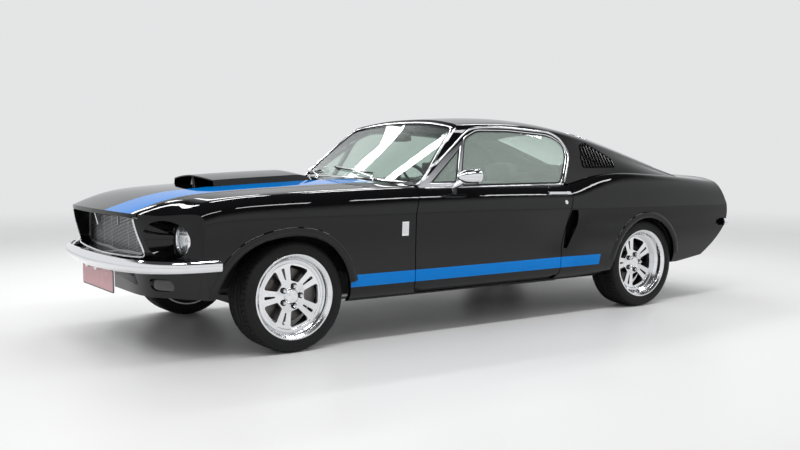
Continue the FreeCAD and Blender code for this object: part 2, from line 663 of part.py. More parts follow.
def tail_mass(depth=0.0):
    """The left half of the tail, where the roof's slope runs down into the deck, moved in by depth."""
    tail = box(TAIL_X - 10, DECK_FRONT_X + 50, -1, 1000, 700, 1200)
    return body(depth, depth).common(tail).fuse(greenhouse(depth).common(tail))


def deck_lid():
    """The lid behind the rear window: the end of the roof's slope, and the deck turned down at the tail."""
    region = prism_z(deck_outline(), DECK_LIP_Z, 1200)
    half = tail_mass().cut(tail_mass(DECK_THICK)).common(region)
    return both(keep_largest(half))


def cowl_panel():
    """The panel between the hood and the windscreen, from fender to fender."""
    shell = body().cut(body(PANEL, PANEL))
    region = box(COWL_REAR_X, HOOD_REAR_X - HOOD_GAP, -1, COWL_HALF, 700, 1000)
    return both(keep_largest(shell.common(region)))


def door(side):
    """A whole door, as thick as the real one, stepped in behind its skin's edges, with its armrest."""
    low_step, high_step = DOOR_STEP_Y
    skin_part = prism_y(door_outline(), high_step, 1000).cut(box(-700, 800, 700, low_step, 0, DOOR_STEP_Z))
    inner_part = prism_y(door_outline(-DOOR_STEP), DOOR_INNER_Y, low_step + 1)
    slab = keep_largest(body().common(skin_part.fuse(inner_part)))
    rest = prism_y([(-240, 560, 20), (240, 560, 30), (280, 612, 20), (-240, 606, 20)], DOOR_INNER_Y - ARMREST_REACH,
                   DOOR_INNER_Y + 4)
    return on_side(slab.fuse(rest), side)


def side_layer(outer, inner):
    """A layer of the greenhouse side between two depths."""
    return greenhouse(outer).cut(greenhouse(inner))


def window_outline(grow, base):
    """The window opening's outline with its edges moved in by grow, cut off at the base height."""
    g = grow
    return [(600 - g * 1.4, base), (600 - g * 1.4, 872 + g * 0.1), (366 - g * 1.5, 1040),
            (140 - g * 1.6, 1184 - g * 0.6), (40 - g * 0.5, 1224 - g, 60), (-221, 1224 - g, 300),
            (-441, 1208 - g, 400), (-600 + g * 0.2, 1196 - g, 234), (-706 + g, 1128 - g * 0.6, 50),
            (-690 + g, 1050 - g * 0.2, 194), (-575 + g * 1.2, 872), (-575 + g * 1.2, base)]


def door_glass(side):
    """The door window in two panes, the vent pane ahead of its divider bar."""
    layer = side_layer(GLASS_DEPTH, GLASS_DEPTH + GLASS)
    base = DOOR_TOP_Z + REST_GAP
    whole = layer.common(prism_y(window_outline(SHUT_GAP, base), 300, 900))
    bar = prism_y(divider_outline(REST_GAP), 300, 900)
    frame = prism_y(vent_outline(0, REST_GAP), 300, 900).cut(prism_y(vent_outline(VENT_FRAME, REST_GAP), 300, 900))
    panes = whole.cut([bar, frame]).Solids
    panes = [pane for pane in panes if pane.Volume > 20000]
    return on_side(Part.makeCompound(panes), side)


def divider_outline(grow=0.0):
    """The bar between the vent pane and the main pane."""
    half = VENT_BAR / 2 + grow
    return [(VENT_BOTTOM_X - half, DOOR_TOP_Z), (VENT_TOP_X - half, 1190), (VENT_TOP_X + half, 1190),
            (VENT_BOTTOM_X + half, DOOR_TOP_Z)]


def vent_outline(width, gap=0.0):
    """The vent window's triangle, its edges moved in by width and its rear edge on the divider bar."""
    low = DOOR_TOP_Z + REST_GAP + width * 0.6
    slope = (600 - 140) / (872 - 1184)
    front = 600 - SHUT_GAP * 1.4 - width * 1.5 - gap
    rear_low, rear_high = VENT_BOTTOM_X - 2, VENT_TOP_X - 2
    return [(front + slope * (low - 872), low), (rear_high + 12, 1176 - width), (rear_high, 1176 - width),
            (rear_low, low)]


def vent_frame():
    """The chrome frame round the vent pane, with the divider bar, standing on the door."""
    layer = side_layer(GLASS_DEPTH - 6, GLASS_DEPTH + GLASS + 6)
    rim = prism_y(vent_outline(0), 300, 900).cut(prism_y(vent_outline(VENT_FRAME), 300, 900))
    bar = prism_y(divider_outline(), 300, 900)
    opening = prism_y(window_outline(SHUT_GAP, DOOR_TOP_Z + REST_GAP), 300, 900)
    return keep_largest(layer.common(rim.fuse(bar)).common(opening))


def revolved(profile, centre, direction=(0, 1, 0)):
    """A solid turned about an axis through centre: profile is (radius, along) points with radii."""
    wire = rounded_wire(profile, lambda p: V(p.x, 0, p.y))
    solid = Part.Face(wire).revolve(V(0, 0, 0), V(0, 0, 1), 360)
    turn = FreeCAD.Rotation(V(0, 0, 1), V(*direction))
    solid.Placement = FreeCAD.Placement(V(*centre), turn)
    return solid


def door_hardware(side):
    """The vent frame, bullet mirror, handle and lock on a door."""
    mirror_centre = (330, 904, 934)
    shell = revolved([(0, 88), (16, 80, 12), (36, 36, 70), (42, -18, 70), (41, -62, 5), (0, -62)], mirror_centre,
                     (1, 0, 0))
    stalk_foot = V(372, 806, DOOR_TOP_Z - 4)
    stalk_head = V(336, 880, 915)
    stalk_line = stalk_head - stalk_foot
    stalk = Part.makeCone(16, 11, stalk_line.Length, stalk_foot, stalk_line)
    mirror = shell.fuse(stalk).cut(prism_y(door_outline(REST_GAP), 700, 1000).common(body(-REST_GAP)))
    bar = prism_y([(-346, 810, 7), (-346, 826, 7), (-538, 822, 7), (-538, 806, 7)], 868, 880)
    posts = [box(x - 11, x + 11, 780, 870, 808, 824) for x in (-366, -520)]
    skin = mass_under(SKIN_STATIONS, body_profile, -REST_GAP)
    handle = keep_largest(bar.fuse(posts[0]).fuse(posts[1]).cut(skin))
    lock = Part.makeCylinder(13, 60, V(-491, 840, 756), V(0, 1, 0)).cut(skin)
    lock = keep_largest(lock.common(body(-3)))
    made = [vent_frame(), keep_largest(mirror), handle, lock]
    return on_side(Part.makeCompound(made), side)


def mouth(grow=0.0, x0=1900.0, x1=NOSE_X):
    """The grille opening's half, with its edges moved out by grow."""
    (_, low_mid), (y1, z1, r1), (y2, z2, r2), (y3, z3, r3), (_, high_mid) = MOUTH
    over = 5.0
    low_end = low_mid - grow - over * (z1 - low_mid) / y1
    high_end = high_mid + grow + over * (high_mid - z3) / y3
    points = [(-over, low_end), (y1, z1 - grow, r1), (y2 + grow, z2, r2), (y3 + grow, z3 + grow, r3),
              (-over, high_end)]
    return prism_x(points, x0, x1)


def turned_on_x(profile):
    """A solid turned about the left headlamp's axis: profile is (radius, x) points with radii."""
    wire = rounded_wire(profile, lambda p: V(p.y, LAMP_Y + p.x, LAMP_Z))
    return Part.Face(wire).revolve(V(0, LAMP_Y, LAMP_Z), V(1, 0, 0), 360)


def lamp_space(radius, x0):
    """The left headlamp's round bore from x0 on, flared ahead of the lamp's face."""
    length, widening = LAMP_FLARE
    return turned_on_x([(0, x0), (radius, x0), (radius, LAMP_FACE_X), (radius + widening, LAMP_FACE_X + length),
                        (0, LAMP_FACE_X + length)])


def nose_panel():
    """The nose round the grille mouth, with the deep headlamp surrounds at its corners."""
    solid_front = body().cut(body(PANEL, PANEL))
    solid_nose = body(PANEL - 2).cut(end_cutter(NOSE_PLAN, 0, END_REACH))
    pod = solid_nose.common(lamp_space(LAMP_R + LAMP_SURROUND, NOSE_SEAM_X + JOINT_GAP))
    region = box(NOSE_SEAM_X + JOINT_GAP, NOSE_X, -1, 1000, VALANCE_TOP_Z, 1000)
    throat = mouth(14, GRILLE_X - 30, NOSE_X)
    wall = throat.common(body(0, 2)).common(box(GRILLE_X - 30, NOSE_X, -1, 600, VALANCE_TOP_Z + 30, 740))
    panel = solid_front.common(region).fuse([pod, wall])
    cuts = [hood_region(), mouth(), lamp_space(LAMP_R + REST_GAP, NOSE_SEAM_X - 20)]
    return both(keep_largest(panel.cut(cuts)))


def front_valance():
    """The panel below the bumper, with an oval lamp opening at each end."""
    shell = outer_body().cut(body(PANEL, PANEL))
    region = box(NOSE_SEAM_X + JOINT_GAP, NOSE_X, -1, 1000, 300, VALANCE_TOP_Z - JOINT_GAP)
    y, z, half_width, half_height = VALANCE_LAMP
    corner = half_height - 1
    slot = prism_x([(y - half_width, z - half_height, corner), (y + half_width, z - half_height, corner),
                    (y + half_width, z + half_height, corner), (y - half_width, z + half_height, corner)],
                   1950, NOSE_X)
    return both(keep_largest(shell.common(region).cut(slot)))


def grille():
    """A fine horizontal mesh set deep in the mouth, with a slim short upright at its centre."""
    x0, x1 = GRILLE_X, GRILLE_X + GRILLE_THICK
    surround = mouth(-REST_GAP, x0, x1 + 4).cut(mouth(-GRILLE_EDGE, x0 - 5, x1 + 20))
    clip = mouth(-GRILLE_EDGE / 2, x0, x1)
    low, high = MOUTH[0][1], MOUTH[-1][1]
    count = int((high - low) / GRILLE_PITCH)
    bars = []
    for i in range(count):
        z = low + (i + 0.5) * GRILLE_PITCH
        bars.append(box(x0 + 1, x1, -1, 560, z, z + GRILLE_BAR).common(clip))
    uprights = [box(x0, x0 + 3, y - 2, y + 2, low, high).common(clip) for y in (140, 280, 420)]
    post_low, post_half = GRILLE_POST
    post = box(x0, x1 + 6, -1, post_half, post_low, high).common(mouth(-2, x0, x1 + 6))
    half = surround.multiFuse(bars + uprights + [post])
    return both(half.common(box(1900, NOSE_X, 0, 700, 400, 900)))


def headlamps():
    """A round sealed lamp in a chrome ring on each side, seated in the nose's bore."""
    back, face = LAMP_FACE_X - LAMP_BUCKET, LAMP_FACE_X
    ring_face = face + LAMP_RING
    shell = turned_on_x([(0, back), (LAMP_R - 20, back, 8), (LAMP_R - LAMP_RING, face - 24), (LAMP_R, face - 20),
                         (LAMP_R, ring_face - 3), (LAMP_R - 3, ring_face, 2), (LAMP_R - LAMP_RING, ring_face - 2),
                         (LAMP_R - LAMP_RING - 2, face, 2), (40, face + 17, 60), (0, face + 20)])
    return Part.makeCompound([shell, mirrored(shell)])


def bumper(plan, origin_x, towards, top_z):
    """A chrome bar swept round a plan line of (back, y) points, its top edge level and its height tapering."""
    path = Part.BSplineCurve()
    path.interpolate([V(origin_x + towards * back, y, top_z) for back, y in plan])
    sections = []
    steps = 12
    for i in range(steps + 1):
        t = path.FirstParameter + (path.LastParameter - path.FirstParameter) * i / steps
        high, tangent = path.value(t), path.tangent(t)[0]
        out = V(1, 0, 0) * towards if i == 0 else V(tangent.y, -tangent.x, 0)
        if out.x * towards < 0:
            out = out * -1
        height = BUMPER_HEIGHT * (1 - BUMPER_TAPER * i / steps)
        thick = BUMPER_THICK * (1 - 0.55 * i / steps)
        middle, low = high - V(0, 0, height / 2), high - V(0, 0, height)
        back = out * -thick
        inner = out * (5 - thick)
        edges = [Part.Arc(low + back * 0.7, middle, high + back * 0.7).toShape(),
                 Part.LineSegment(high + back * 0.7, high + back).toShape(),
                 Part.Arc(high + back, middle + inner * 0.72, low + back).toShape(),
                 Part.LineSegment(low + back, low + back * 0.7).toShape()]
        sections.append(Part.Wire(edges))
    return Part.makeLoft(sections, True, False)


def front_bumper():
    """The front bumper with its two brackets, and the blank plate hung behind its lower edge."""
    blade = bumper(FRONT_BUMPER_PLAN, NOSE_X, 1, FRONT_BUMPER_Z + BUMPER_HEIGHT / 2)
    rail_y = sum(RAIL_HALF_Y) / 2
    arm = box(2190, NOSE_X - BUMPER_THICK + 8, rail_y - 26, rail_y + 26, 470, 500)
    half = keep_largest(blade.fuse(arm.cut(body(-REST_GAP, -REST_GAP))))
    width, height, thick = PLATE_SIZE
    blade_low = FRONT_BUMPER_Z - BUMPER_HEIGHT / 2
    plate_z = blade_low - 2
    plate = box(PLATE_X - thick, PLATE_X, -1, width / 2, plate_z - height, plate_z)
    bracket_rear, bracket_front = PLATE_X - thick / 2, NOSE_X - BUMPER_THICK + 6
    bar = box(bracket_rear, bracket_front, 60, 100, plate_z - 10, blade_low + 4)
    return both(keep_largest(half.multiFuse([plate, bar])))


def rear_bumper():
    """The rear bumper with its two brackets."""
    blade = bumper(REAR_BUMPER_PLAN, TAIL_X, -1, REAR_BUMPER_Z + BUMPER_HEIGHT / 2)
    arm = box(-2150, TAIL_X + BUMPER_THICK - 14, 360, 420, REAR_BUMPER_Z - 16, REAR_BUMPER_Z + 16)
    half = keep_largest(blade.fuse(arm.cut(body(-REST_GAP, -REST_GAP))))
    return both(half)


def roof_panel():
    """The roof with its pillars and sail panels, cut for the windscreen, side windows and rear window."""
    shell = greenhouse().cut(greenhouse(ROOF_WALL))
    (x0, y0), (x1, y1) = REAR_WINDOW
    rear = prism_z([(x0, -5), (x0, y0, 60), (x1, y1, 70), (x1, -5)], 850, 1400)
    door_gap = box(-600, 700, 680, 900, 700, DOOR_TOP_Z + SHUT_GAP)
    lid = prism_z(deck_outline(HOOD_GAP), DECK_LIP_Z - HOOD_GAP, 1200)
    cuts = [screen_cutter(), prism_y(WINDOW, 400, 1000), rear, lid, door_gap, body(-REST_GAP)]
    roof = keep_largest(shell.cut(cuts))
    louvres = sail_louvres(roof)
    return both(louvres)


def sail_louvres(roof):
    """The roof with upright slats standing in a recess on the sail panel."""
    recess = prism_y(LOUVRE_OUTLINE, 400, 1000).cut(greenhouse(LOUVRE_DEPTH))
    first, last = min(x for x, *_ in LOUVRE_OUTLINE), max(x for x, *_ in LOUVRE_OUTLINE)
    pitch = (last - first) / (LOUVRE_COUNT + 1)
    slats = []
    for i in range(1, LOUVRE_COUNT + 1):
        x = first + i * pitch
        slats.append(box(x - LOUVRE_THICK / 2, x + LOUVRE_THICK / 2, 400, 1000, 900, 1200))
    field = greenhouse(1.5).common(prism_y(LOUVRE_OUTLINE, 400, 1000))
    blades = [field.common(slat).cut(greenhouse(LOUVRE_DEPTH + 2)) for slat in slats]
    return keep_largest(roof.cut(recess).multiFuse(blades))


def windshield():
    """The raked, curved windscreen, seated between the pillars, the header and the cowl."""
    slab = screen_cutter(GLASS * 1.6 + 2).cut(screen_cutter(2))
    inside = greenhouse(ROOF_WALL + JOINT_GAP).common(slab)
    return both(keep_largest(inside.cut(body(-REST_GAP))))


def rear_window():
    """The large curved rear window, flush in the roof."""
    layer = side_layer(8, 8 + GLASS)
    (x0, y0), (x1, y1) = REAR_WINDOW
    g = JOINT_GAP
    outline = [(x0 - g, -5), (x0 - g, y0 - g, 60 - g), (x1 + g, y1 - g, 70 - g), (x1 + g, -5)]
    return both(keep_largest(layer.common(prism_z(outline, 850, 1400))))


def strip(points, thick):
    """The outline of a bent sheet: a line of (a, b) points and its copy moved thick to its left."""
    moved = []
    for i, point in enumerate(points):
        normals = []
        for a, b in ((i - 1, i), (i, i + 1)):
            if a >= 0 and b < len(points):
                run = V(points[b][0] - points[a][0], points[b][1] - points[a][1], 0)
                normals.append(V(-run.y, run.x, 0).normalize())
        normal = normals[0] if len(normals) == 1 else (normals[0] + normals[1])
        normal.normalize()
        reach = thick / max(normal.dot(normals[0]), 0.3)
        moved.append((point[0] + normal.x * reach, point[1] + normal.y * reach, *point[2:]))
    return list(points) + moved[::-1]


def floor_pan():
    """The structure that the panels hang on: floors, tunnel, firewall, sills, rails, tubs and aprons."""
    def sheet(points, y0, y1, thick=SHEET):
        return prism_y(strip(points, thick), y0, y1)
    half = CABIN_HALF
    floor_line = [(FIREWALL_X, 850), (FIREWALL_X, 640), (1010, 520), (1040, 392), (930, FLOOR_Z)]
    rear_line = [(-760, FLOOR_Z), (-880, 400), (-1010, REAR_FLOOR_Z), (-1560, REAR_FLOOR_Z),
                 (-1640, TRUNK_FLOOR_Z), (-2060, TRUNK_FLOOR_Z)]
    tub_reach = TUB_R + SHEET
    wheel_space = box(REAR_AXLE_X - tub_reach, REAR_AXLE_X + tub_reach, TUB_INNER_Y - 2, 1000, 100, 800)
    solids = [sheet(floor_line + rear_line, -1, half).cut(wheel_space)]
    foot_space = prism_y([(600, 850)] + floor_line + [(600, FLOOR_Z)], -5, CABIN_HALF)
    tunnel_out = prism_x([(-1, 150), (TUNNEL_HALF, 150), (TUNNEL_HALF - 14, TUNNEL_TOP_Z, 50), (-1, TUNNEL_TOP_Z)],
                         -890, 1080)
    tunnel_in = prism_x([(-1, 140), (TUNNEL_HALF - SHEET, 140), (TUNNEL_HALF - 14 - SHEET, TUNNEL_TOP_Z - SHEET, 40),
                         (-1, TUNNEL_TOP_Z - SHEET)], -1000, 1200)
    below = box(-1000, 1200, -1, half + 10, 100, FLOOR_Z - SHEET)
    seal_y = DOOR_INNER_Y - REST_GAP
    sill = prism_x([(640, FLOOR_Z - 4), (seal_y, FLOOR_Z - 4), (seal_y, 370, 10), (704, 376, 10),
                    (690, FLOOR_Z + 4)], -560, 1000)
    hinge_post = box(DOOR_FRONT_X + 12, DOOR_FRONT_X + 130, 690, half + 70, 300, 838)
    lock_post = prism_y([(-680, 360), (-520, 360), (-530, 560), (-625, 720), (-650, 838), (-820, 838)], 690, half + 40)
    rail_y0, rail_y1 = RAIL_HALF_Y
    rail = box(950, 2186, rail_y0, rail_y1, *RAIL_HEIGHT).cut(foot_space)
    rear_rail = prism_y([(-775, FLOOR_Z), (-850, 258), (-915, 330), (-1030, 400), (-2150, 400), (-2150, 436),
                         (-1645, 436), (-1562, 512), (-1012, 512), (-884, 396)], 430, REAR_RAIL_Y)
    apron = box(FIREWALL_X, 2020, APRON_Y, APRON_Y + SHEET, RAIL_HEIGHT[1] - 20, 800).cut(foot_space)
    apron_foot = box(960, 2020, rail_y1 - 10, APRON_Y + 2, RAIL_HEIGHT[1] - 20, RAIL_HEIGHT[1]).cut(foot_space)
    tower = box(FRONT_AXLE_X - 76, FRONT_AXLE_X + 76, APRON_Y, 590, 660, 780)
    tub = Part.makeCylinder(TUB_R + SHEET, 255, V(REAR_AXLE_X, TUB_INNER_Y - SHEET, TYRE_R), V(0, 1, 0))
    hollow = Part.makeCylinder(TUB_R, 255, V(REAR_AXLE_X, TUB_INNER_Y, TYRE_R), V(0, 1, 0))
    axle_way = box(REAR_AXLE_X - 90, REAR_AXLE_X + 90, 0, TUB_INNER_Y + 1, 200, 400)
    tub = tub.cut([hollow, box(-2000, 0, 0, 1000, -50, 290), axle_way])
    support = box(1930, 1946, -1, APRON_Y + SHEET, RAIL_HEIGHT[0], 800).cut(
        prism_x([(-10, 360), (330, 360, 20), (330, 700, 20), (-10, 700)], 1900, 2000))
    rests = [box(1946 - SHEET, 1982, -1, 60, 780, 900), box(1930, 1946, 400, 430, 790, 900)]
    rests = [rest.cut(body_outside(HOOD_THICK + REST_GAP)) for rest in rests]
    cowl_shelf = prism_y([(FIREWALL_X, 838), (FIREWALL_X + SHEET, 838), (FIREWALL_X + SHEET, 866),
                          (640, 866), (640, 854), (FIREWALL_X, 854)], -1, half)
    parts = solids + [tunnel_out.cut([tunnel_in, below]), sill, hinge_post, lock_post, rail, rear_rail, apron,
                      apron_foot, tower, tub, support, cowl_shelf]
    whole = parts[0].multiFuse(parts[1:])
    clear = [tunnel_in, body_outside(QUARTER_WALL + REST_GAP)]
    return both(whole.cut(clear).multiFuse(rests))


@functools.lru_cache(maxsize=None)
def body_outside(depth):
    """All the space outside the skin moved in by depth, on the left half."""
    space = box(TAIL_X - 50, NOSE_X + 50, -20, 1100, 100, 950)
    return space.cut(body(depth, depth).fuse(box(TAIL_X - 40, NOSE_X + 40, -19, 700, 101, 243.1)))


def wheel_face(axle):
    """How far the spokes' outer face stands outboard of the wheel's mid-plane."""
    return RIM_WIDTH / 2 - (FRONT_DISH if axle == "front" else REAR_DISH)


def turned(profile):
    """A solid of revolution about Y from (radius, y) points with corner radii."""
    wire = rounded_wire(profile, lambda p: V(p.x, p.y, 0))
    return Part.Face(wire).revolve(V(0, 0, 0), V(0, 1, 0), 360)


def placed(shape, axle, side):
    """A wheel part made at the origin for the left side, moved to its corner of the car."""
    moved = shape.copy()
    moved.translate(V(FRONT_AXLE_X if axle == "front" else REAR_AXLE_X, WHEEL_Y, TYRE_R))
    return on_side(moved, side)


def tyre():
    """A low tyre's ring, seated on the wheel's two bead seats."""
    half = TYRE_WIDTH / 2
    seat = LIP_R + REST_GAP
    return turned([(seat, -half), (TYRE_R - SHOULDER, -half), (TYRE_R, SHOULDER - half),
                   (TYRE_R, half - SHOULDER), (TYRE_R - SHOULDER, half), (seat, half)])


def sector(inner_r, outer_r, inner_half, outer_half, angle, y0, y1, corner):
    """A tapered window prism along Y, centred on an angle, from inner to outer radius."""
    points = [(inner_r, -inner_half, corner), (outer_r, -outer_half, corner), (outer_r + 4, 0, outer_half),
              (outer_r, outer_half, corner), (inner_r, inner_half, corner)]
    turn = math.radians(angle)
    placed_points = [(a * math.cos(turn) - b * math.sin(turn), a * math.sin(turn) + b * math.cos(turn), r)
                     for a, b, r in points]
    return prism_y(placed_points, y0, y1)


def rim(axle):
    """A polished five-spoke wheel: barrel, deep lip, twin spokes, lug nuts and a centre cap, with its brake disc."""
    half, face = RIM_WIDTH / 2, wheel_face(axle)
    barrel = turned([(LIP_R, half, 3), (LIP_R, half - 34), (BEAD_R, half - 44), (BEAD_R, 60), (200, 44),
                     (200, -44), (BEAD_R, -60), (BEAD_R, 44 - half), (LIP_R, 34 - half), (LIP_R, -half),
                     (LIP_R - 9, -half), (209, 18 - half), (209, -64), (194, -48), (194, 48), (209, 64),
                     (209, half - 14, 6), (LIP_R - 9, half, 3)])
    back = face - SPOKE_THICK
    bore = SPINDLE_R + RUN_CLEAR
    web = turned([(bore, back), (78, back), (SPOKE_DISC_R, back + 10, 20), (197, back + 6), (197, face - 2),
                  (SPOKE_DISC_R + 4, face - 2, 4), (SPOKE_DISC_R, face, 4), (92, face - 10, 30), (46, face - 4, 6),
                  (34, face + 12, 8), (0, face + 16), (0, face - 8), (bore, face - 8)])
    windows = [sector(81, 162, 23, 61, WINDOW_ANGLE + i * 360 / SPOKE_COUNT, back - 30, face + 40, 12)
               for i in range(SPOKE_COUNT)]
    slots = [sector(94, 158, 4, 9, WINDOW_ANGLE + (i + 0.5) * 360 / SPOKE_COUNT, back - 30, face + 40, 3.5)
             for i in range(SPOKE_COUNT)]
    lugs = []
    for i in range(LUG_COUNT):
        turn = math.radians(WINDOW_ANGLE + i * 360 / LUG_COUNT)
        centre = V(LUG_CIRCLE_R * math.cos(turn), face - 12, LUG_CIRCLE_R * math.sin(turn))
        lugs.append(Part.makeCylinder(LUG_R, 22, centre, V(0, 1, 0)))
    wheel = barrel.fuse(web.cut(windows + slots)).multiFuse(lugs)
    return Part.makeCompound([keep_largest(wheel), brake_disc(axle)])


def disc_span(axle):
    """The inner and outer faces of the brake disc along Y, from the wheel's mid-plane."""
    outer = wheel_face(axle) - SPOKE_THICK - REST_GAP - DISC_HAT_DEPTH
    return outer - DISC_THICK, outer


def brake_disc(axle):
    """The brake disc and its hat, bolted to the back of the wheel."""
    low, high = disc_span(axle)
    seat = wheel_face(axle) - SPOKE_THICK - REST_GAP
    bore = SPINDLE_R + RUN_CLEAR
    return turned([(bore, seat - 9), (DISC_HAT_R - 7, seat - 9, 4), (DISC_HAT_R - 7, low), (DISC_R, low),
                   (DISC_R, high), (DISC_HAT_R, high, 2), (DISC_HAT_R, seat, 5), (bore, seat)])


def caliper(axle, angle):
    """A brake caliper straddling the disc, clear of it, at an angle round the axle."""
    low, high = disc_span(axle)
    ring = turned([(104, low - 22), (DISC_R + 24, low - 22, 6), (DISC_R + 24, high + 16, 6), (104, high + 16)])
    wedge = sector(90, 210, 46, 62, angle, low - 40, high + 40, 10)
    slot = Part.makeCylinder(DISC_R + 6, DISC_THICK + 10, V(0, low - 5, 0), V(0, 1, 0))
    return ring.common(wedge).cut(slot)


def knuckle(side):
    """A steering knuckle: upright, spindle, steering arm, caliper and its bracket."""
    low, _ = disc_span("front")
    kingpin = KINGPIN_Y - WHEEL_Y
    z0, z1 = BALL_JOINT_Z[0] - TYRE_R, BALL_JOINT_Z[1] - TYRE_R
    upright = prism_y([(-26, z0, 10), (26, z0, 10), (40, 0, 30), (26, z1, 10), (-26, z1, 10), (-40, 0, 30)],
                      kingpin - 18, kingpin + 16)
    spindle_end = wheel_face("front") - 10
    spindle = Part.makeCylinder(SPINDLE_R, spindle_end - kingpin, V(0, kingpin, 0), V(0, 1, 0))
    boss = Part.makeCylinder(38, low - 6 - kingpin, V(0, kingpin, 0), V(0, 1, 0))
    joints = [Part.makeCylinder(20, 24, V(0, kingpin, z), V(0, 0, 1)) for z in (z0, z1 - 24)]
    arm = prism_z([(10, kingpin - 14, 6), (10, kingpin + 12, 6), (-140, kingpin - 22, 10), (-140, kingpin - 50, 10)],
                  -78, -60)
    bracket = prism_y([(-20, 60, 8), (-20, -60, 8), (-140, -42, 10), (-140, 42, 10)], low - 22, low - 8)
    clamp = caliper("front", 180)
    whole = upright.multiFuse([spindle, boss, arm, bracket, clamp] + joints)
    return placed(keep_largest(whole), "front", side)


def front_suspension():
    """The crossmember, control arms, dampers and anti-roll bar at the front axle."""
    x = FRONT_AXLE_X
    low_z, high_z = BALL_JOINT_Z
    cross = prism_x([(-1, 178), (360, 178, 20), (440, 196, 10), (440, 228, 10), (352, 246, 10), (330, 250),
                     (-1, 214)], x - 52, x + 52)
    pads = box(x - 40, x + 40, RAIL_HALF_Y[0], RAIL_HALF_Y[1], 240, RAIL_HEIGHT[0] - REST_GAP)
    outer_y, wall_y = KINGPIN_Y + 20, APRON_Y + SHEET + REST_GAP
    low_arm = prism_z([(x - 120, 420, 12), (x - 24, 672, 20), (x - 20, outer_y, 20), (x + 20, outer_y, 20),
                       (x + 24, 672, 20), (x + 120, 420, 12)], low_z - REST_GAP - 20, low_z - REST_GAP)
    high_arm = prism_z([(x - 90, wall_y, 10), (x - 22, 672, 18), (x - 20, outer_y, 20), (x + 20, outer_y, 20),
                        (x + 22, 672, 18), (x + 90, wall_y, 10)], high_z + REST_GAP, high_z + REST_GAP + 16)
    pivot = box(x - 120, x + 120, 400, 440, low_z - 20, low_z + 10)
    damper = Part.makeCylinder(30, 226, V(x, 520, high_z + 10), V(0, 0, 1))
    spring = Part.makeCylinder(50, 190, V(x, 520, high_z + 40), V(0, 0, 1))
    low = keep_largest(cross.multiFuse([pads, low_arm, pivot]))
    high = keep_largest(high_arm.multiFuse([damper, spring]).cut(box(x - 90, x + 90, 400, 600, 660 - REST_GAP, 900)))
    return Part.makeCompound([both(low), high, mirrored(high)])


def rear_axle():
    """The live axle: tube, differential, stub ends with backing plates, and the two leaf springs."""
    x = REAR_AXLE_X
    low, _ = disc_span("rear")
    plate_y = WHEEL_Y + low - 6
    tube = Part.makeCylinder(AXLE_TUBE_R, plate_y, V(x, 0, TYRE_R), V(0, 1, 0))
    stub = Part.makeCylinder(SPINDLE_R, WHEEL_Y + wheel_face("rear") - 10 - plate_y + 8, V(x, plate_y - 8, TYRE_R),
                             V(0, 1, 0))
    housing = Part.makeSphere(DIFF_R, V(x, 0, TYRE_R)).common(box(x - 200, x + 200, 0, 200, 0, 600))
    nose = Part.makeCone(62, 44, 120, V(x + 90, 0, TYRE_R), V(1, 0, 0)).common(box(x, x + 400, 0, 200, 0, 600))
    clamp = caliper("rear", 0)
    clamp.translate(V(x, WHEEL_Y, TYRE_R))
    bracket = prism_y([(x + 10, TYRE_R + 30), (x + 10, TYRE_R - 30), (x + 150, TYRE_R - 40), (x + 150, TYRE_R + 40)],
                      plate_y - 12, plate_y)
    bracket = bracket.fuse(box(x + 108, x + 140, plate_y - 4, WHEEL_Y + low - 6, TYRE_R - 30, TYRE_R + 30))
    leaf_line = [(x - 640, 340), (x - 340, 276, 400), (x, 252, 900), (x + 200, 262, 500), (x + 400, 290)]
    leaf = prism_y(strip(leaf_line, 22), 494, 552)
    pad = box(x - 60, x + 60, 486, 558, 250, TYRE_R - 20)
    eye = Part.makeCylinder(26, 552 - REAR_RAIL_Y - REST_GAP, V(x + 400, REAR_RAIL_Y + REST_GAP, 302), V(0, 1, 0))
    rear_eye = Part.makeCylinder(24, 60, V(x - 640, 492, 350), V(0, 1, 0))
    shackle = box(x - 652, x - 628, 498, 546, 340, TRUNK_FLOOR_Z - SHEET - REST_GAP)
    half = tube.multiFuse([stub, housing, nose, clamp, bracket, leaf, pad, eye, rear_eye, shackle])
    return both(keep_largest(half))


def driveline():
    """The gearbox and the propeller shaft under the tunnel."""
    box_front = ENGINE_SPAN[0] - REST_GAP
    case = prism_x([(-104, 236, 30), (104, 236, 30), (88, 384, 30), (-88, 384, 30)], 900, box_front)
    tail = prism_x([(-74, 240, 30), (74, 240, 30), (62, 360, 30), (-62, 360, 30)], 460, 902)
    shaft_end = REAR_AXLE_X + 210 + REST_GAP
    shaft = Part.makeCylinder(PROPSHAFT_R, 462 - shaft_end, V(shaft_end, 0, TYRE_R), V(1, 0, 0))
    return case.multiFuse([tail, shaft])


def engine():
    """The engine as one plain block, and the radiator ahead of it."""
    x0, x1 = ENGINE_SPAN
    block = prism_x([(-230, 262, 30), (230, 262, 30), (292, 420, 40), (292, 720, 60), (150, 800, 40), (-150, 800, 40),
                     (-292, 720, 60), (-292, 420, 40)], x0, x1)
    radiator = box(1930 - 46, 1930 - REST_GAP, -342, 342, 350, 730)
    return Part.makeCompound([block, radiator])


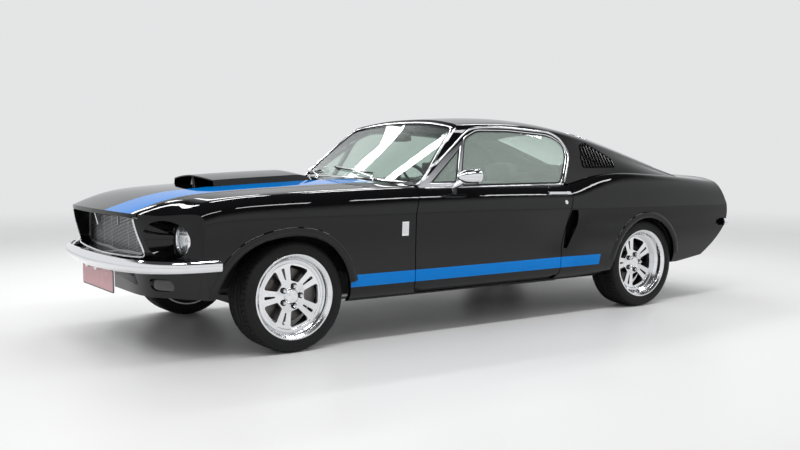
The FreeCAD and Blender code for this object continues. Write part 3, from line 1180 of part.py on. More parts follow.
def exhaust():
    """Two pipes with silencers, from the engine to the tail, hung under the floor."""
    runs = []
    for side in SIDES.values():
        y = PIPE_Y * side
        pipe = Part.makeCylinder(PIPE_R, 3120, V(-2080, y, PIPE_Z), V(1, 0, 0))
        outlet = Part.makeCylinder(PIPE_R - 3, 60, V(-2090, y, PIPE_Z), V(1, 0, 0))
        muffler = prism_x([(y - 80, PIPE_Z - 38, 30), (y + 80, PIPE_Z - 38, 30), (y + 80, PIPE_Z + 38, 30),
                           (y - 80, PIPE_Z + 38, 30)], -900, -420)
        hangers = [box(x - 4, x + 4, y - 14, y + 14, PIPE_Z, FLOOR_Z - SHEET - REST_GAP) for x in (-200, 500)]
        tail_hanger = box(-1700, -1692, y - 14, y + 14, PIPE_Z, 290 - REST_GAP)
        runs.append(keep_largest(pipe.multiFuse([muffler, tail_hanger] + hangers).cut(outlet)))
    return Part.makeCompound(runs)


def fuel_tank():
    """The tank under the boot floor, with a seam flange round it."""
    tank = prism_x([(-420, 290, 30), (420, 290, 30), (400, TRUNK_FLOOR_Z - SHEET - REST_GAP, 10),
                    (-400, TRUNK_FLOOR_Z - SHEET - REST_GAP, 10)], -2020, -1650)
    flange = box(-2034, -1636, -424, 424, 352, 358)
    return tank.fuse(flange)


def dashboard():
    """The dashboard, with a hooded instrument bay ahead of the driver and a console below."""
    wall_x = FIREWALL_X - REST_GAP
    top = prism_y([(660, 850, 10), (wall_x, 850), (wall_x, 700), (520, 640, 30), (440, 690, 30), (412, 790, 30),
                   (470, 838, 30)], -DASH_HALF, DASH_HALF)
    hood_part = prism_y([(412, 770, 10), (396, 852, 14), (430, 866, 14), (600, 846)], 180, 560)
    bay = prism_y([(380, 776), (380, 844), (424, 846, 8), (430, 776, 8)], 196, 544)
    console = prism_x([(-90, TUNNEL_TOP_Z + REST_GAP), (90, TUNNEL_TOP_Z + REST_GAP), (74, 470, 16), (-74, 470, 16)],
                      -60, 640)
    stack = prism_y([(440, TUNNEL_TOP_Z + 20), (700, TUNNEL_TOP_Z + 20), (700, 680), (500, 680)], -110, 110)
    lever = Part.makeCylinder(8, 150, V(240, 0, 460), V(-0.2, 0, 1)).fuse(Part.makeSphere(20, V(210, 0, 612)))
    socket = steering_axis_solid(COLUMN_R + 6, -COLUMN_LENGTH - REST_GAP, 60)
    return keep_largest(top.fuse(hood_part).cut(bay).multiFuse([console, stack, lever]).cut(socket))


def steering_axis_solid(radius, low, high):
    """A cylinder on the steering column's axis, between two distances from the wheel's centre."""
    return at_steering_wheel(Part.makeCylinder(radius, high - low, V(0, 0, low), V(0, 0, 1)))


def at_steering_wheel(shape):
    """A shape made on the Z axis, moved to the steering wheel's place and tilt."""
    moved = shape.copy()
    moved.rotate(V(0, 0, 0), V(0, 1, 0), COLUMN_TILT - 90)
    moved.translate(V(*WHEEL_CENTRE))
    return moved


def steering_wheel():
    """A three-spoke steering wheel and its column."""
    rim_ring = Part.makeTorus(STEERING_WHEEL_R, STEERING_GRIP_R)
    hub = Part.makeCylinder(34, 40, V(0, 0, -44), V(0, 0, 1))
    spokes = []
    for angle in (90, 210, 330):
        spoke = box(20, STEERING_WHEEL_R - 2, -13, 13, -7, -3).fuse(box(20, 60, -16, 16, -24, -4))
        spokes.append(spoke.rotate(V(0, 0, 0), V(0, 0, 1), angle))
    column = Part.makeCylinder(COLUMN_R, COLUMN_LENGTH - 40, V(0, 0, -COLUMN_LENGTH), V(0, 0, 1))
    return at_steering_wheel(rim_ring.multiFuse([hub, column] + spokes))


def seat(x, y):
    """A bucket seat: base, cushion, back and headrest in one form, standing on its runners."""
    base = box(x - 210, x + 240, y - 190, y + 190, FLOOR_Z + REST_GAP, 318)
    cushion = prism_y([(x - 260, 310, 30), (x + 262, 330, 50), (x + 268, 440, 50), (x - 120, 416, 40),
                       (x - 240, 430, 30)], y - SEAT_HALF, y + SEAT_HALF)
    back = prism_y([(x - 250, 330, 30), (x - 130, 400, 30), (x - 196, 640, 200), (x - 262, 876, 30), (x - 346, 862, 30),
                    (x - 352, 620, 200)], y - SEAT_HALF, y + SEAT_HALF)
    rest = prism_y([(x - 268, 866, 10), (x - 288, 1010, 30), (x - 366, 996, 30), (x - 340, 856, 10)], y - 130, y + 130)
    return base.multiFuse([cushion, back, rest])


def seats():
    """Two front bucket seats and the rear bench."""
    front = [seat(SEAT_X, side * SEAT_Y) for side in SIDES.values()]
    bench = prism_y([(-870, 414), (-790, 310), (-560, 290, 30), (-540, 440, 40), (-930, 470, 30), (-1050, 780, 20),
                     (-1120, 770, 20), (-1060, REAR_FLOOR_Z + REST_GAP), (-1008, REAR_FLOOR_Z + REST_GAP)],
                    -TUB_INNER_Y + 20, TUB_INNER_Y - 20)
    hump = box(-1000, -500, -TUNNEL_HALF - 6, TUNNEL_HALF + 6, 200, TUNNEL_TOP_Z + 6)
    return Part.makeCompound(front + [bench.cut(hump)])


def nodes():
    """Every named piece of the car."""
    made = {
        "floor_pan": floor_pan(), "roof_panel": roof_panel(), "nose_panel": nose_panel(),
        "front_valance": front_valance(), "grille": grille(), "front_bumper": front_bumper(),
        "headlamps": headlamps(), "cowl_panel": cowl_panel(), "windshield": windshield(),
        "rear_window": rear_window(), "tail_panel": tail_panel(), "rear_bumper": rear_bumper(),
        "tail_lamps": tail_lamps(), "dashboard": dashboard(), "seats": seats(), "engine": engine(),
        "driveline": driveline(), "exhaust": exhaust(), "fuel_tank": fuel_tank(),
        "front_suspension": front_suspension(), "rear_axle": rear_axle(), "hood": hood(),
        "hood_scoop": hood_scoop(), "deck_lid": deck_lid(), "steering_wheel": steering_wheel()}
    for name, side in SIDES.items():
        made["fender_" + name] = fender(side)
        made["quarter_panel_" + name] = quarter_panel(side)
        made["door_" + name] = door(side)
        made["door_glass_" + name] = door_glass(side)
        made["door_hardware_" + name] = door_hardware(side)
        made["knuckle_" + name] = knuckle(side)
        for axle in ("front", "rear"):
            corner = axle + "_" + name
            made["tyre_" + corner] = placed(tyre(), axle, side)
            made["rim_" + corner] = placed(rim(axle), axle, side)
    return made


def main():
    """Writes one STEP file for each node."""
    os.makedirs("parts", exist_ok=True)
    for name, shape in nodes().items():
        shape.exportStep("parts/" + name + ".step")


if __name__ == "__main__":
    main()
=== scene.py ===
"""The looks of a black fastback muscle car with blue stripes, dressed round its packed construction.

Metres, X forward, Y to the car's left and Z up, as in the frame.
"""
import itertools
import math

import bmesh
import bpy
from mathutils import Matrix, Vector
from mathutils.bvhtree import BVHTree


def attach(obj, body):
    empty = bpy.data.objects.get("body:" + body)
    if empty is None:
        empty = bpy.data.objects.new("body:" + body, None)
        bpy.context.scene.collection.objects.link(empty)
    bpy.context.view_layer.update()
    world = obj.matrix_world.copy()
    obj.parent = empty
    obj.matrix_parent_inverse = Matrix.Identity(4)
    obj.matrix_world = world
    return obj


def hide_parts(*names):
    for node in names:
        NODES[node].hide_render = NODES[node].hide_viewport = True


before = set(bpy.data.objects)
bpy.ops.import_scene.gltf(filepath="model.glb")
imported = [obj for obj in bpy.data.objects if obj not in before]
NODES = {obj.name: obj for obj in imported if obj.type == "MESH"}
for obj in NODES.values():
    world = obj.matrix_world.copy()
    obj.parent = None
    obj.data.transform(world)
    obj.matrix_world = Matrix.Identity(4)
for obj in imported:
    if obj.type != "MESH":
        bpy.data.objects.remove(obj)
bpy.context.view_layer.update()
SIDES = {"left": 1.0, "right": -1.0}

# The photograph's view: its width, the camera's focal length in its pixels, place and aim
PHOTO_WIDTH_PX = 800
FOCAL_PX = 955
SENSOR = 36.0
CAMERA_AT = (3.896, 5.340, 1.088)
CAMERA_YAW = -124.66
CAMERA_PITCH = -4.46

# Stripes
HOOD_STRIPE_Y = (0.285, 0.545)
HOOD_STRIPE_X = 0.768
HOOD_STRIPE_FLOOR_Z = 0.68
# Ahead of the first X, the stripe's inner and outer edges run inwards by the others for each metre
HOOD_STRIPE_TAPER = (1.80, 0.17, 0.07)
ROCKER_STRIPE_Z = (0.330, 0.400)
ROCKER_STRIPE_X = (-0.815, 1.130)
ROCKER_STRIPE_Y = 0.60

# Wheels
AXLE_X = {"front": 1.4695, "rear": -1.2735}
AXLE_Z = 0.303
WHEEL_Y = 0.7365
TYRE_HALF = 0.112
RIM_HALF = 0.106
DISH = {"front": 0.044, "rear": 0.078}


# Node graphs

def new_node(tree, kind, inputs=None, **settings):
    """A shader node with its settings and its inputs, which are values or sockets to link."""
    made = tree.nodes.new(kind)
    for key, value in settings.items():
        setattr(made, key, value)
    for key, value in (inputs or {}).items():
        if isinstance(value, bpy.types.NodeSocket):
            tree.links.new(value, made.inputs[key])
        else:
            made.inputs[key].default_value = value
    return made


def maths(tree, operation, first, second=None, third=None):
    """The output of one Math node."""
    inputs = {i: v for i, v in enumerate((first, second, third)) if v is not None}
    return new_node(tree, "ShaderNodeMath", inputs, operation=operation).outputs[0]


def rgba(colour):
    return (*colour, 1.0)


def material(name, colour, roughness, metallic=0.0, **sockets):
    """A Principled material. Returns it, its tree and its shader."""
    made = bpy.data.materials.new(name)
    made.use_nodes = True
    tree = made.node_tree
    shader = tree.nodes["Principled BSDF"]
    shader.inputs["Base Color"].default_value = rgba(colour)
    shader.inputs["Roughness"].default_value = roughness
    shader.inputs["Metallic"].default_value = metallic
    for key, value in sockets.items():
        shader.inputs[key.replace("_", " ")].default_value = value
    made.diffuse_color = rgba(colour)
    return made, tree, shader


def place(tree):
    """The object's own coordinates, which are the frame's, in metres."""
    return new_node(tree, "ShaderNodeTexCoord").outputs["Object"]


def noise(tree, scale, detail, where=None, roughness=0.5):
    vector = where or place(tree)
    inputs = {"Vector": vector, "Scale": scale, "Detail": detail, "Roughness": roughness}
    return new_node(tree, "ShaderNodeTexNoise", inputs).outputs["Fac"]


def spread(tree, value, low, high):
    """A 0 to 1 value, carried to low to high."""
    inputs = {"Value": value, "To Min": low, "To Max": high}
    return new_node(tree, "ShaderNodeMapRange", inputs).outputs["Result"]


def ramp(tree, value, low, high):
    """0 below low and 1 above high, with a soft step between."""
    inputs = {"Value": value, "From Min": low, "From Max": high}
    return new_node(tree, "ShaderNodeMapRange", inputs, interpolation_type="SMOOTHSTEP").outputs["Result"]


def band(tree, value, low, high):
    """1 where value lies between low and high, and 0 elsewhere."""
    return maths(tree, "COMPARE", value, (low + high) / 2, (high - low) / 2)


def mix(tree, share, first, second):
    """A colour between two colours or sockets."""
    made = new_node(tree, "ShaderNodeMix", data_type="RGBA")
    for index, value in ((0, share), (6, first), (7, second)):
        if isinstance(value, bpy.types.NodeSocket):
            tree.links.new(value, made.inputs[index])
        else:
            made.inputs[index].default_value = value if index == 0 else rgba(value)
    return made.outputs[2]


def blend(tree, share, first, second):
    """A shader between two shaders."""
    return new_node(tree, "ShaderNodeMixShader", {0: share, 1: first.outputs[0], 2: second.outputs[0]})


def bump(tree, shader, height, strength, distance):
    """A bump on the shader's normal, which a height of 1 raises by the distance in metres."""
    made = new_node(tree, "ShaderNodeBump", {"Height": height, "Strength": strength, "Distance": distance})
    tree.links.new(made.outputs["Normal"], shader.inputs["Normal"])


# Materials

BLACK = (0.0026, 0.0026, 0.0030)
BLUE = (0.001, 0.205, 0.66)
PAINT_COAT = 0.80
ROCKER_COAT = 0.30
STRIPE_LEAST_UP = 0.25


def paint_material(name, striped=True):
    """Gloss paint under a clear coat: black, with the blue stripes where they run."""
    made, tree, shader = material(name, BLACK, 0.35, Coat_Weight=PAINT_COAT, Coat_Roughness=0.02,
                                  Specular_IOR_Level=0.0)
    bump(tree, shader, noise(tree, 260.0, 2.0), 0.035, 0.0004)
    if not striped:
        return made
    x, y, z = new_node(tree, "ShaderNodeSeparateXYZ", {"Vector": place(tree)}).outputs
    normal = new_node(tree, "ShaderNodeNewGeometry").outputs["Normal"]
    facing = new_node(tree, "ShaderNodeSeparateXYZ", {"Vector": normal})
    taper_x, inner_taper, outer_taper = HOOD_STRIPE_TAPER
    past = maths(tree, "MAXIMUM", maths(tree, "SUBTRACT", x, taper_x), 0.0)
    hood = maths(tree, "GREATER_THAN", maths(tree, "MULTIPLY_ADD", past, inner_taper, y), HOOD_STRIPE_Y[0])
    for test, value, limit in (
            ("LESS_THAN", maths(tree, "MULTIPLY_ADD", past, outer_taper, y), HOOD_STRIPE_Y[1]),
            ("GREATER_THAN", z, HOOD_STRIPE_FLOOR_Z),
            ("GREATER_THAN", facing.outputs["Z"], STRIPE_LEAST_UP),
            ("GREATER_THAN", x, HOOD_STRIPE_X)):
        hood = maths(tree, "MULTIPLY", hood, maths(tree, test, value, limit))
    low = maths(tree, "MULTIPLY", band(tree, z, *ROCKER_STRIPE_Z), band(tree, x, *ROCKER_STRIPE_X))
    outboard = maths(tree, "GREATER_THAN", maths(tree, "ABSOLUTE", y), ROCKER_STRIPE_Y)
    low = maths(tree, "MULTIPLY", low, outboard)
    where = maths(tree, "MAXIMUM", hood, low)
    shade = mix(tree, noise(tree, 900.0, 1.0), BLUE, tuple(c * 1.12 for c in BLUE))
    tree.links.new(mix(tree, where, BLACK, shade), shader.inputs["Base Color"])
    tree.links.new(spread(tree, low, PAINT_COAT, ROCKER_COAT), shader.inputs["Coat Weight"])
    return made


def chrome_material():
    made, tree, shader = material("chrome", (0.80, 0.81, 0.83), 0.06, 1.0)
    tree.links.new(spread(tree, noise(tree, 14.0, 4.0), 0.03, 0.10), shader.inputs["Roughness"])
    bump(tree, shader, noise(tree, 35.0, 1.0), 0.05, 0.0006)
    return made


def alloy_material():
    """Polished cast alloy, with the faint swirl that polishing leaves."""
    made, tree, shader = material("polished_alloy", (0.82, 0.83, 0.845), 0.14, 1.0)
    tree.links.new(spread(tree, noise(tree, 60.0, 5.0), 0.08, 0.22), shader.inputs["Roughness"])
    bump(tree, shader, noise(tree, 420.0, 3.0), 0.06, 0.0002)
    return made


def rubber_material(name, colour, roughness):
    made, tree, shader = material(name, colour, roughness, Specular_IOR_Level=0.22)
    dusty = tuple(c * 1.6 + 0.001 for c in colour)
    tree.links.new(mix(tree, noise(tree, 11.0, 5.0), colour, dusty), shader.inputs["Base Color"])
    worn = spread(tree, noise(tree, 30.0, 4.0), roughness - 0.1, roughness + 0.1)
    tree.links.new(worn, shader.inputs["Roughness"])
    bump(tree, shader, noise(tree, 600.0, 3.0), 0.25, 0.0004)
    return made


SHADOW_TINT = 0.80


def glass_material(name, tint, roughness=0.0, reflection_veil=0.0):
    """Glass that lets lamps through: a tinted refracting pane to the eye, and clear to shadow rays. A diffuse
    share, where given, paints a pale reflection veil over the pane.
    """
    made, tree, shader = material(name, tint, roughness, Transmission_Weight=1.0 - reflection_veil, IOR=1.45)
    light = new_node(tree, "ShaderNodeLightPath")
    shade = rgba(tuple(c * SHADOW_TINT + 1 - SHADOW_TINT for c in tint))
    through = new_node(tree, "ShaderNodeBsdfTransparent", {"Color": shade})
    both = blend(tree, light.outputs["Is Shadow Ray"], shader, through)
    tree.links.new(both.outputs[0], tree.nodes["Material Output"].inputs["Surface"])
    return made


def lens_material(name, colour):
    """A coloured lamp lens with moulded ribs under a smooth face, and painted shade in the troughs of the
    ribs.
    """
    made, tree, shader = material(name, colour, 0.12, Coat_Weight=1.0, Coat_Roughness=0.03,
                                  Subsurface_Weight=0.15)
    wave = new_node(tree, "ShaderNodeTexWave", {"Vector": place(tree), "Scale": 55.0}, bands_direction="Z")
    # The colour darkens where the ribs sink: painted shade in their troughs.
    trough_shade = tuple(c * 0.45 for c in colour)
    tree.links.new(mix(tree, wave.outputs["Fac"], trough_shade, colour), shader.inputs["Base Color"])
    bump(tree, shader, wave.outputs["Fac"], 0.4, 0.0008)
    return made


def grimy_material(name, colour, roughness, metallic=0.0, scale=9.0, strength=0.25):
    """A working surface with road dust and uneven gloss."""
    made, tree, shader = material(name, colour, roughness, metallic)
    dirt = noise(tree, scale, 8.0, roughness=0.62)
    dusty = tuple(c * 1.7 + 0.012 for c in colour)
    tree.links.new(mix(tree, dirt, colour, dusty), shader.inputs["Base Color"])
    uneven = spread(tree, dirt, max(roughness - 0.15, 0.1), min(roughness + 0.2, 1.0))
    tree.links.new(uneven, shader.inputs["Roughness"])
    bump(tree, shader, noise(tree, scale * 40, 4.0), strength, 0.0005)
    return made


def leather_material(name, colour):
    """Soft grained leather: a fine cell pattern, slight colour change and a low sheen."""
    made, tree, shader = material(name, colour, 0.48, Sheen_Weight=0.08, Specular_IOR_Level=0.4)
    grain = new_node(tree, "ShaderNodeTexVoronoi", {"Vector": place(tree), "Scale": 520.0})
    worn = tuple(min(c * 1.35, 1.0) for c in colour)
    tree.links.new(mix(tree, noise(tree, 7.0, 4.0), colour, worn), shader.inputs["Base Color"])
    bump(tree, shader, grain.outputs["Distance"], 0.35, 0.0005)
    return made


def carpet_material():
    made, tree, shader = material("carpet", (0.012, 0.012, 0.013), 0.95, Sheen_Weight=0.4)
    pile = noise(tree, 900.0, 2.0)
    tree.links.new(mix(tree, pile, (0.006, 0.006, 0.007), (0.024, 0.024, 0.026)), shader.inputs["Base Color"])
    bump(tree, shader, pile, 0.8, 0.002)
    return made


def brake_steel_material():
    """The swept face of a brake disc: fine turning marks and spots of a little rust."""
    made, tree, shader = material("brake_steel", (0.13, 0.125, 0.12), 0.36, 1.0)
    spots = noise(tree, 25.0, 6.0)
    tree.links.new(mix(tree, spots, (0.15, 0.145, 0.14), (0.08, 0.07, 0.062)), shader.inputs["Base Color"])
    tree.links.new(spread(tree, spots, 0.22, 0.45), shader.inputs["Roughness"])
    bump(tree, shader, noise(tree, 700.0, 2.0), 0.2, 0.0002)
    return made


MATERIALS = {
    "paint": paint_material("body_paint"),
    "plain_paint": paint_material("plain_black_paint", striped=False),
    "chrome": chrome_material(),
    "alloy": alloy_material(),
    "sidewall": rubber_material("sidewall_rubber", (0.0062, 0.0062, 0.0066), 0.55),
    "tread": rubber_material("tread_rubber", (0.0075, 0.0075, 0.0075), 0.78),
    "seal": rubber_material("seal_rubber", (0.006, 0.006, 0.0065), 0.6),
    "glass": glass_material("window_glass", (0.80, 0.90, 0.86)),
    # The side panes get a diffuse share: a painted reflection veil, a pale lit tint in place of their
    # reflections.
    "side_glass": glass_material("side_window_glass", (0.80, 0.89, 0.84), reflection_veil=0.14),
    "lens": glass_material("clear_lens", (0.95, 0.97, 0.98), 0.12),
    "reflector": material("reflector", (0.90, 0.90, 0.91), 0.10, 1.0)[0],
    "tail_lens": lens_material("tail_lens", (0.42, 0.012, 0.014)),
    "smoked_lens": lens_material("smoked_lens", (0.010, 0.009, 0.009)),
    "under": grimy_material("underbody_black", (0.010, 0.010, 0.011), 0.62),
    "satin": grimy_material("satin_black", (0.006, 0.006, 0.0065), 0.42, scale=5.0, strength=0.1),
    # Matt near-black: the colour of dark parts, and painted shade where it fills slots, recesses and the
    # space behind the grille.
    "dark": grimy_material("black_and_painted_shade", (0.003, 0.003, 0.003), 0.9),
    "grille": grimy_material("grille_metal", (0.42, 0.42, 0.43), 0.30, 1.0, scale=20.0, strength=0.1),
    "cast": grimy_material("cast_metal", (0.16, 0.155, 0.15), 0.55, 1.0, scale=30.0),
    "steel": grimy_material("bare_steel", (0.34, 0.33, 0.32), 0.38, 1.0, scale=14.0),
    "brake": brake_steel_material(),
    "vinyl": leather_material("dash_vinyl", (0.012, 0.012, 0.013)),
    "leather": leather_material("seat_leather", (0.050, 0.050, 0.050)),
    "wheel_leather": leather_material("wheel_leather", (0.010, 0.009, 0.009)),
    "headliner": leather_material("headliner", (0.012, 0.012, 0.013)),
    "carpet": carpet_material(),
    "plate": grimy_material("plate_enamel", (0.50, 0.29, 0.31), 0.45, scale=16.0, strength=0.08),
    "mark": material("dial_mark", (0.75, 0.74, 0.70), 0.5)[0],
}

NODE_MATERIAL = {
    "floor_pan": "under", "roof_panel": "paint", "nose_panel": "paint", "front_valance": "paint",
    "grille": "grille", "front_bumper": "chrome", "headlamps": "chrome", "cowl_panel": "paint",
    "windshield": "glass", "rear_window": "glass", "tail_panel": "paint", "rear_bumper": "chrome",
    "tail_lamps": "tail_lens", "dashboard": "vinyl", "seats": "leather", "engine": "cast",
    "driveline": "cast", "exhaust": "steel", "fuel_tank": "under", "front_suspension": "under",
    "rear_axle": "under", "hood": "paint", "hood_scoop": "plain_paint", "deck_lid": "paint",
    "steering_wheel": "wheel_leather",
}
SIDE_MATERIAL = {"fender": "paint", "quarter_panel": "paint", "door": "paint", "door_glass": "side_glass",
                 "door_hardware": "chrome", "knuckle": "cast"}
for side in SIDES:
    for stem, key in SIDE_MATERIAL.items():
        NODE_MATERIAL[f"{stem}_{side}"] = key
    for axle in AXLE_X:
        NODE_MATERIAL[f"rim_{axle}_{side}"] = "alloy"
        NODE_MATERIAL[f"tyre_{axle}_{side}"] = "sidewall"


def dress_node(name, key):
    """Gives a node of the frame its material."""
    mesh = NODES[name].data
    mesh.materials.clear()
    mesh.materials.append(MATERIALS[key])
    for face in mesh.polygons:
        face.material_index = 0


def dress_faces(name, key, wanted):
    """Gives the faces whose centre and normal are wanted a second material."""
    mesh = NODES[name].data
    mesh.materials.append(MATERIALS[key])
    index = len(mesh.materials) - 1
    for face in mesh.polygons:
        if wanted(face.center, face.normal):
            face.material_index = index


# Meshes

def make_piece(name, verts, faces, keys, body, slot, smooth=True, face_keys=None):
    """A mesh piece that rides on a body. keys are its materials, and face_keys each face's index."""
    mesh = bpy.data.meshes.new(name)
    mesh.from_pydata([tuple(v) for v in verts], [], [tuple(f) for f in faces])
    for key in ([keys] if isinstance(keys, str) else keys):
        mesh.materials.append(MATERIALS[key])
    if face_keys:
        for face, index in zip(mesh.polygons, face_keys):
            face.material_index = index
    if smooth:
        mesh.shade_smooth()
    mesh.validate()
    piece = bpy.data.objects.new(name, mesh)
    bpy.context.scene.collection.objects.link(piece)
    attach(piece, body)
    fix_normals(piece)
    return piece


def fix_normals(piece):
    work = bmesh.new()
    work.from_mesh(piece.data)
    bmesh.ops.recalc_face_normals(work, faces=work.faces)
    work.to_mesh(piece.data)
    work.free()


def add_modifier(piece, kind, **settings):
    made = piece.modifiers.new(kind.lower(), kind)
    for key, value in settings.items():
        setattr(made, key, value)
    return made


def lathe(profile, steps, closed=True):
    """Vertices and faces of a profile of (radius, offset) turned about Y at the origin."""
    verts, faces = [], []
    count = len(profile)
    for i in range(steps):
        angle = 2 * math.pi * i / steps
        verts += [Vector((r * math.cos(angle), offset, r * math.sin(angle))) for r, offset in profile]
        j = (i + 1) % steps
        for k in range(count if closed else count - 1):
            m = (k + 1) % count
            faces.append((i * count + k, j * count + k, j * count + m, i * count + m))
    return verts, faces


def smooth_line(points, steps):
    """A smooth line through the points, with this many steps from each to the next."""
    points = [Vector(p) for p in points]
    last = len(points) - 1
    line = []
    for i in range(last):
        a, b, c, d = (points[min(max(i + k, 0), last)] for k in (-1, 0, 1, 2))
        for s in range(steps):
            t = s / steps
            line.append(0.5 * (2 * b + (c - a) * t + (2 * a - 5 * b + 4 * c - d) * t ** 2
                               + (3 * b - a - 3 * c + d) * t ** 3))
    return line + [points[-1]]


def sweep(line, section, up=None, closed=False):
    """A section of (across, out) points carried along a line. up gives the outward way at each point."""
    verts, faces = [], []
    count, size = len(line), len(section)
    for i, point in enumerate(line):
        before = line[i - 1] if i or closed else line[i]
        after = line[(i + 1) % count] if i < count - 1 or closed else line[i]
        along = (after - before).normalized()
        out = Vector(up[i]) if isinstance(up, list) else Vector(up or (0, 0, 1))
        out = (out - along * out.dot(along)).normalized()
        across = along.cross(out)
        for a, b in section:
            verts.append(point + across * a + out * b)
    for i in range(count if closed else count - 1):
        j = (i + 1) % count
        for k in range(size):
            m = (k + 1) % size
            faces.append((i * size + k, j * size + k, j * size + m, i * size + m))
    if not closed:
        faces.append(tuple(range(size))[::-1])
        faces.append(tuple((count - 1) * size + k for k in range(size)))
    return verts, faces


def half_round(width, height, steps=8):
    """A trim strip's section: flat below and round above."""
    return [(width / 2 * math.cos(math.pi * i / steps), height * math.sin(math.pi * i / steps))
            for i in range(steps + 1)]


def block(low, high):
    """A box's vertices and faces."""
    verts = [Vector(spot) for spot in itertools.product(*zip(low, high))]
    faces = [(0, 1, 3, 2), (4, 6, 7, 5), (0, 4, 5, 1), (2, 3, 7, 6), (0, 2, 6, 4), (1, 5, 7, 3)]
    return verts, faces


def joined(parts):
    """Several (verts, faces) as one."""
    verts, faces = [], []
    for more, sides in parts:
        start = len(verts)
        verts += list(more)
        faces += [tuple(start + k for k in face) for face in sides]
    return verts, faces


def placed(part, spot, degrees, axis="Z"):
    """A part turned about one of its axes and moved to its place."""
    verts, faces = part
    matrix = Matrix.Translation(spot) @ Matrix.Rotation(math.radians(degrees), 4, axis)
    return [matrix @ v for v in verts], faces


def sheet(rows, columns, start=0):
    """The faces of a sheet of (rows + 1) by (columns + 1) vertices."""
    corners = [start + i * (columns + 1) + j for i in range(rows) for j in range(columns)]
    return [(a, a + 1, a + columns + 2, a + columns + 1) for a in corners]


def bridge(first, second, steps):
    """The faces between two rings of steps vertices."""
    return [(first + i, first + (i + 1) % steps, second + (i + 1) % steps, second + i) for i in range(steps)]


def rings(count, steps, start=0):
    """The faces between count + 1 rings of steps vertices."""
    return [face for k in range(count) for face in bridge(start + k * steps, start + (k + 1) * steps, steps)]


def tree_of(names):
    """A search tree over the surfaces of some nodes."""
    verts, faces = [], []
    for name in names:
        mesh = NODES[name].data
        start = len(verts)
        verts += [v.co.copy() for v in mesh.vertices]
        faces += [tuple(start + k for k in p.vertices) for p in mesh.polygons]
    return BVHTree.FromPolygons(verts, faces)


# Where the rays below start, outside the car
RAY_START = {"x": 2.6, "y": 1.1, "z": 1.6}


def from_side(tree, x, z, side):
    """The point and normal that a ray from the car's side meets at x and z."""
    return tree.ray_cast(Vector((x, RAY_START["y"] * side, z)), Vector((0, -side, 0)))[:2]


def from_above(tree, x, y):
    """The point and normal that a ray from above meets at x and y."""
    return tree.ray_cast(Vector((x, y, RAY_START["z"])), Vector((0, 0, -1)))[:2]


def from_end(tree, y, z, way=1):
    """The point and normal that a ray from ahead, or from behind where way is -1, meets at y and z."""
    return tree.ray_cast(Vector((RAY_START["x"] * way, y, z)), Vector((-way, 0, 0)))[:2]


def along_at(line, i):
    """The way an open line runs at one of its points."""
    return (line[min(i + 1, len(line) - 1)] - line[max(i - 1, 0)]).normalized()


# Camera, floor and light

def make_camera():
    data = bpy.data.cameras.new("camera")
    data.sensor_width = SENSOR
    data.lens = FOCAL_PX / PHOTO_WIDTH_PX * SENSOR
    data.clip_end = 200.0
    camera = bpy.data.objects.new("camera", data)
    bpy.context.scene.collection.objects.link(camera)
    yaw, pitch = math.radians(CAMERA_YAW), math.radians(CAMERA_PITCH)
    aim = Vector((math.cos(pitch) * math.cos(yaw), math.cos(pitch) * math.sin(yaw), math.sin(pitch)))
    camera.location = CAMERA_AT
    camera.rotation_euler = aim.to_track_quat("-Z", "Y").to_euler()
    bpy.context.scene.camera = camera


FLOOR_COLOUR = (0.87, 0.87, 0.87)
BACKDROP = (0.775, 0.785, 0.788)
FLOOR_REACH = 60.0
FLOOR_FADE = (5.0, 13.0)


def make_floor():
    """A pale floor that turns into the backdrop's colour far from the car."""
    mesh = bpy.data.meshes.new("floor")
    corners = [(a * FLOOR_REACH, b * FLOOR_REACH, 0) for a, b in ((-1, -1), (1, -1), (1, 1), (-1, 1))]
    mesh.from_pydata(corners, [], [(0, 1, 2, 3)])
    floor = bpy.data.objects.new("floor", mesh)
    bpy.context.scene.collection.objects.link(floor)
    made, tree, shader = material("floor", FLOOR_COLOUR, 0.38, Specular_IOR_Level=0.25)
    where = place(tree)
    tree.links.new(spread(tree, noise(tree, 1.3, 4.0, where), 0.30, 0.48), shader.inputs["Roughness"])
    far = new_node(tree, "ShaderNodeVectorMath", {0: where}, operation="LENGTH").outputs["Value"]
    glow = new_node(tree, "ShaderNodeEmission", {"Color": rgba(BACKDROP)})
    both = blend(tree, ramp(tree, far, *FLOOR_FADE), shader, glow)
    tree.links.new(both.outputs[0], tree.nodes["Material Output"].inputs["Surface"])
    mesh.materials.append(made)


WALL_GLOW = (0.86, 0.87, 0.88)
CEILING_GLOW = (0.05, 0.05, 0.053)
AMBIENT = 0.60
WALL_TOP = (0.46, 0.66)


def make_world():
    """A white studio: pale walls and a dim ceiling round the car, and a plain backdrop to the eye."""
    world = bpy.data.worlds.new("studio")
    bpy.context.scene.world = world
    world.use_nodes = True
    tree = world.node_tree
    lit = tree.nodes["Background"]
    way = new_node(tree, "ShaderNodeTexCoord").outputs["Generated"]
    up = new_node(tree, "ShaderNodeSeparateXYZ", {"Vector": way}).outputs["Z"]
    room = mix(tree, ramp(tree, up, *WALL_TOP), WALL_GLOW, CEILING_GLOW)
    tree.links.new(room, lit.inputs["Color"])
    path = new_node(tree, "ShaderNodeLightPath")
    plain = new_node(tree, "ShaderNodeBackground", {"Color": rgba(BACKDROP), "Strength": 1.0})
    soft = new_node(tree, "ShaderNodeBackground", {"Color": (1, 1, 1, 1), "Strength": AMBIENT})
    glossy = blend(tree, path.outputs["Is Glossy Ray"], soft, lit)
    seen = maths(tree, "MAXIMUM", path.outputs["Is Camera Ray"], path.outputs["Is Transmission Ray"])
    final = blend(tree, seen, glossy, plain)
    tree.links.new(final.outputs[0], tree.nodes["World Output"].inputs["Surface"])


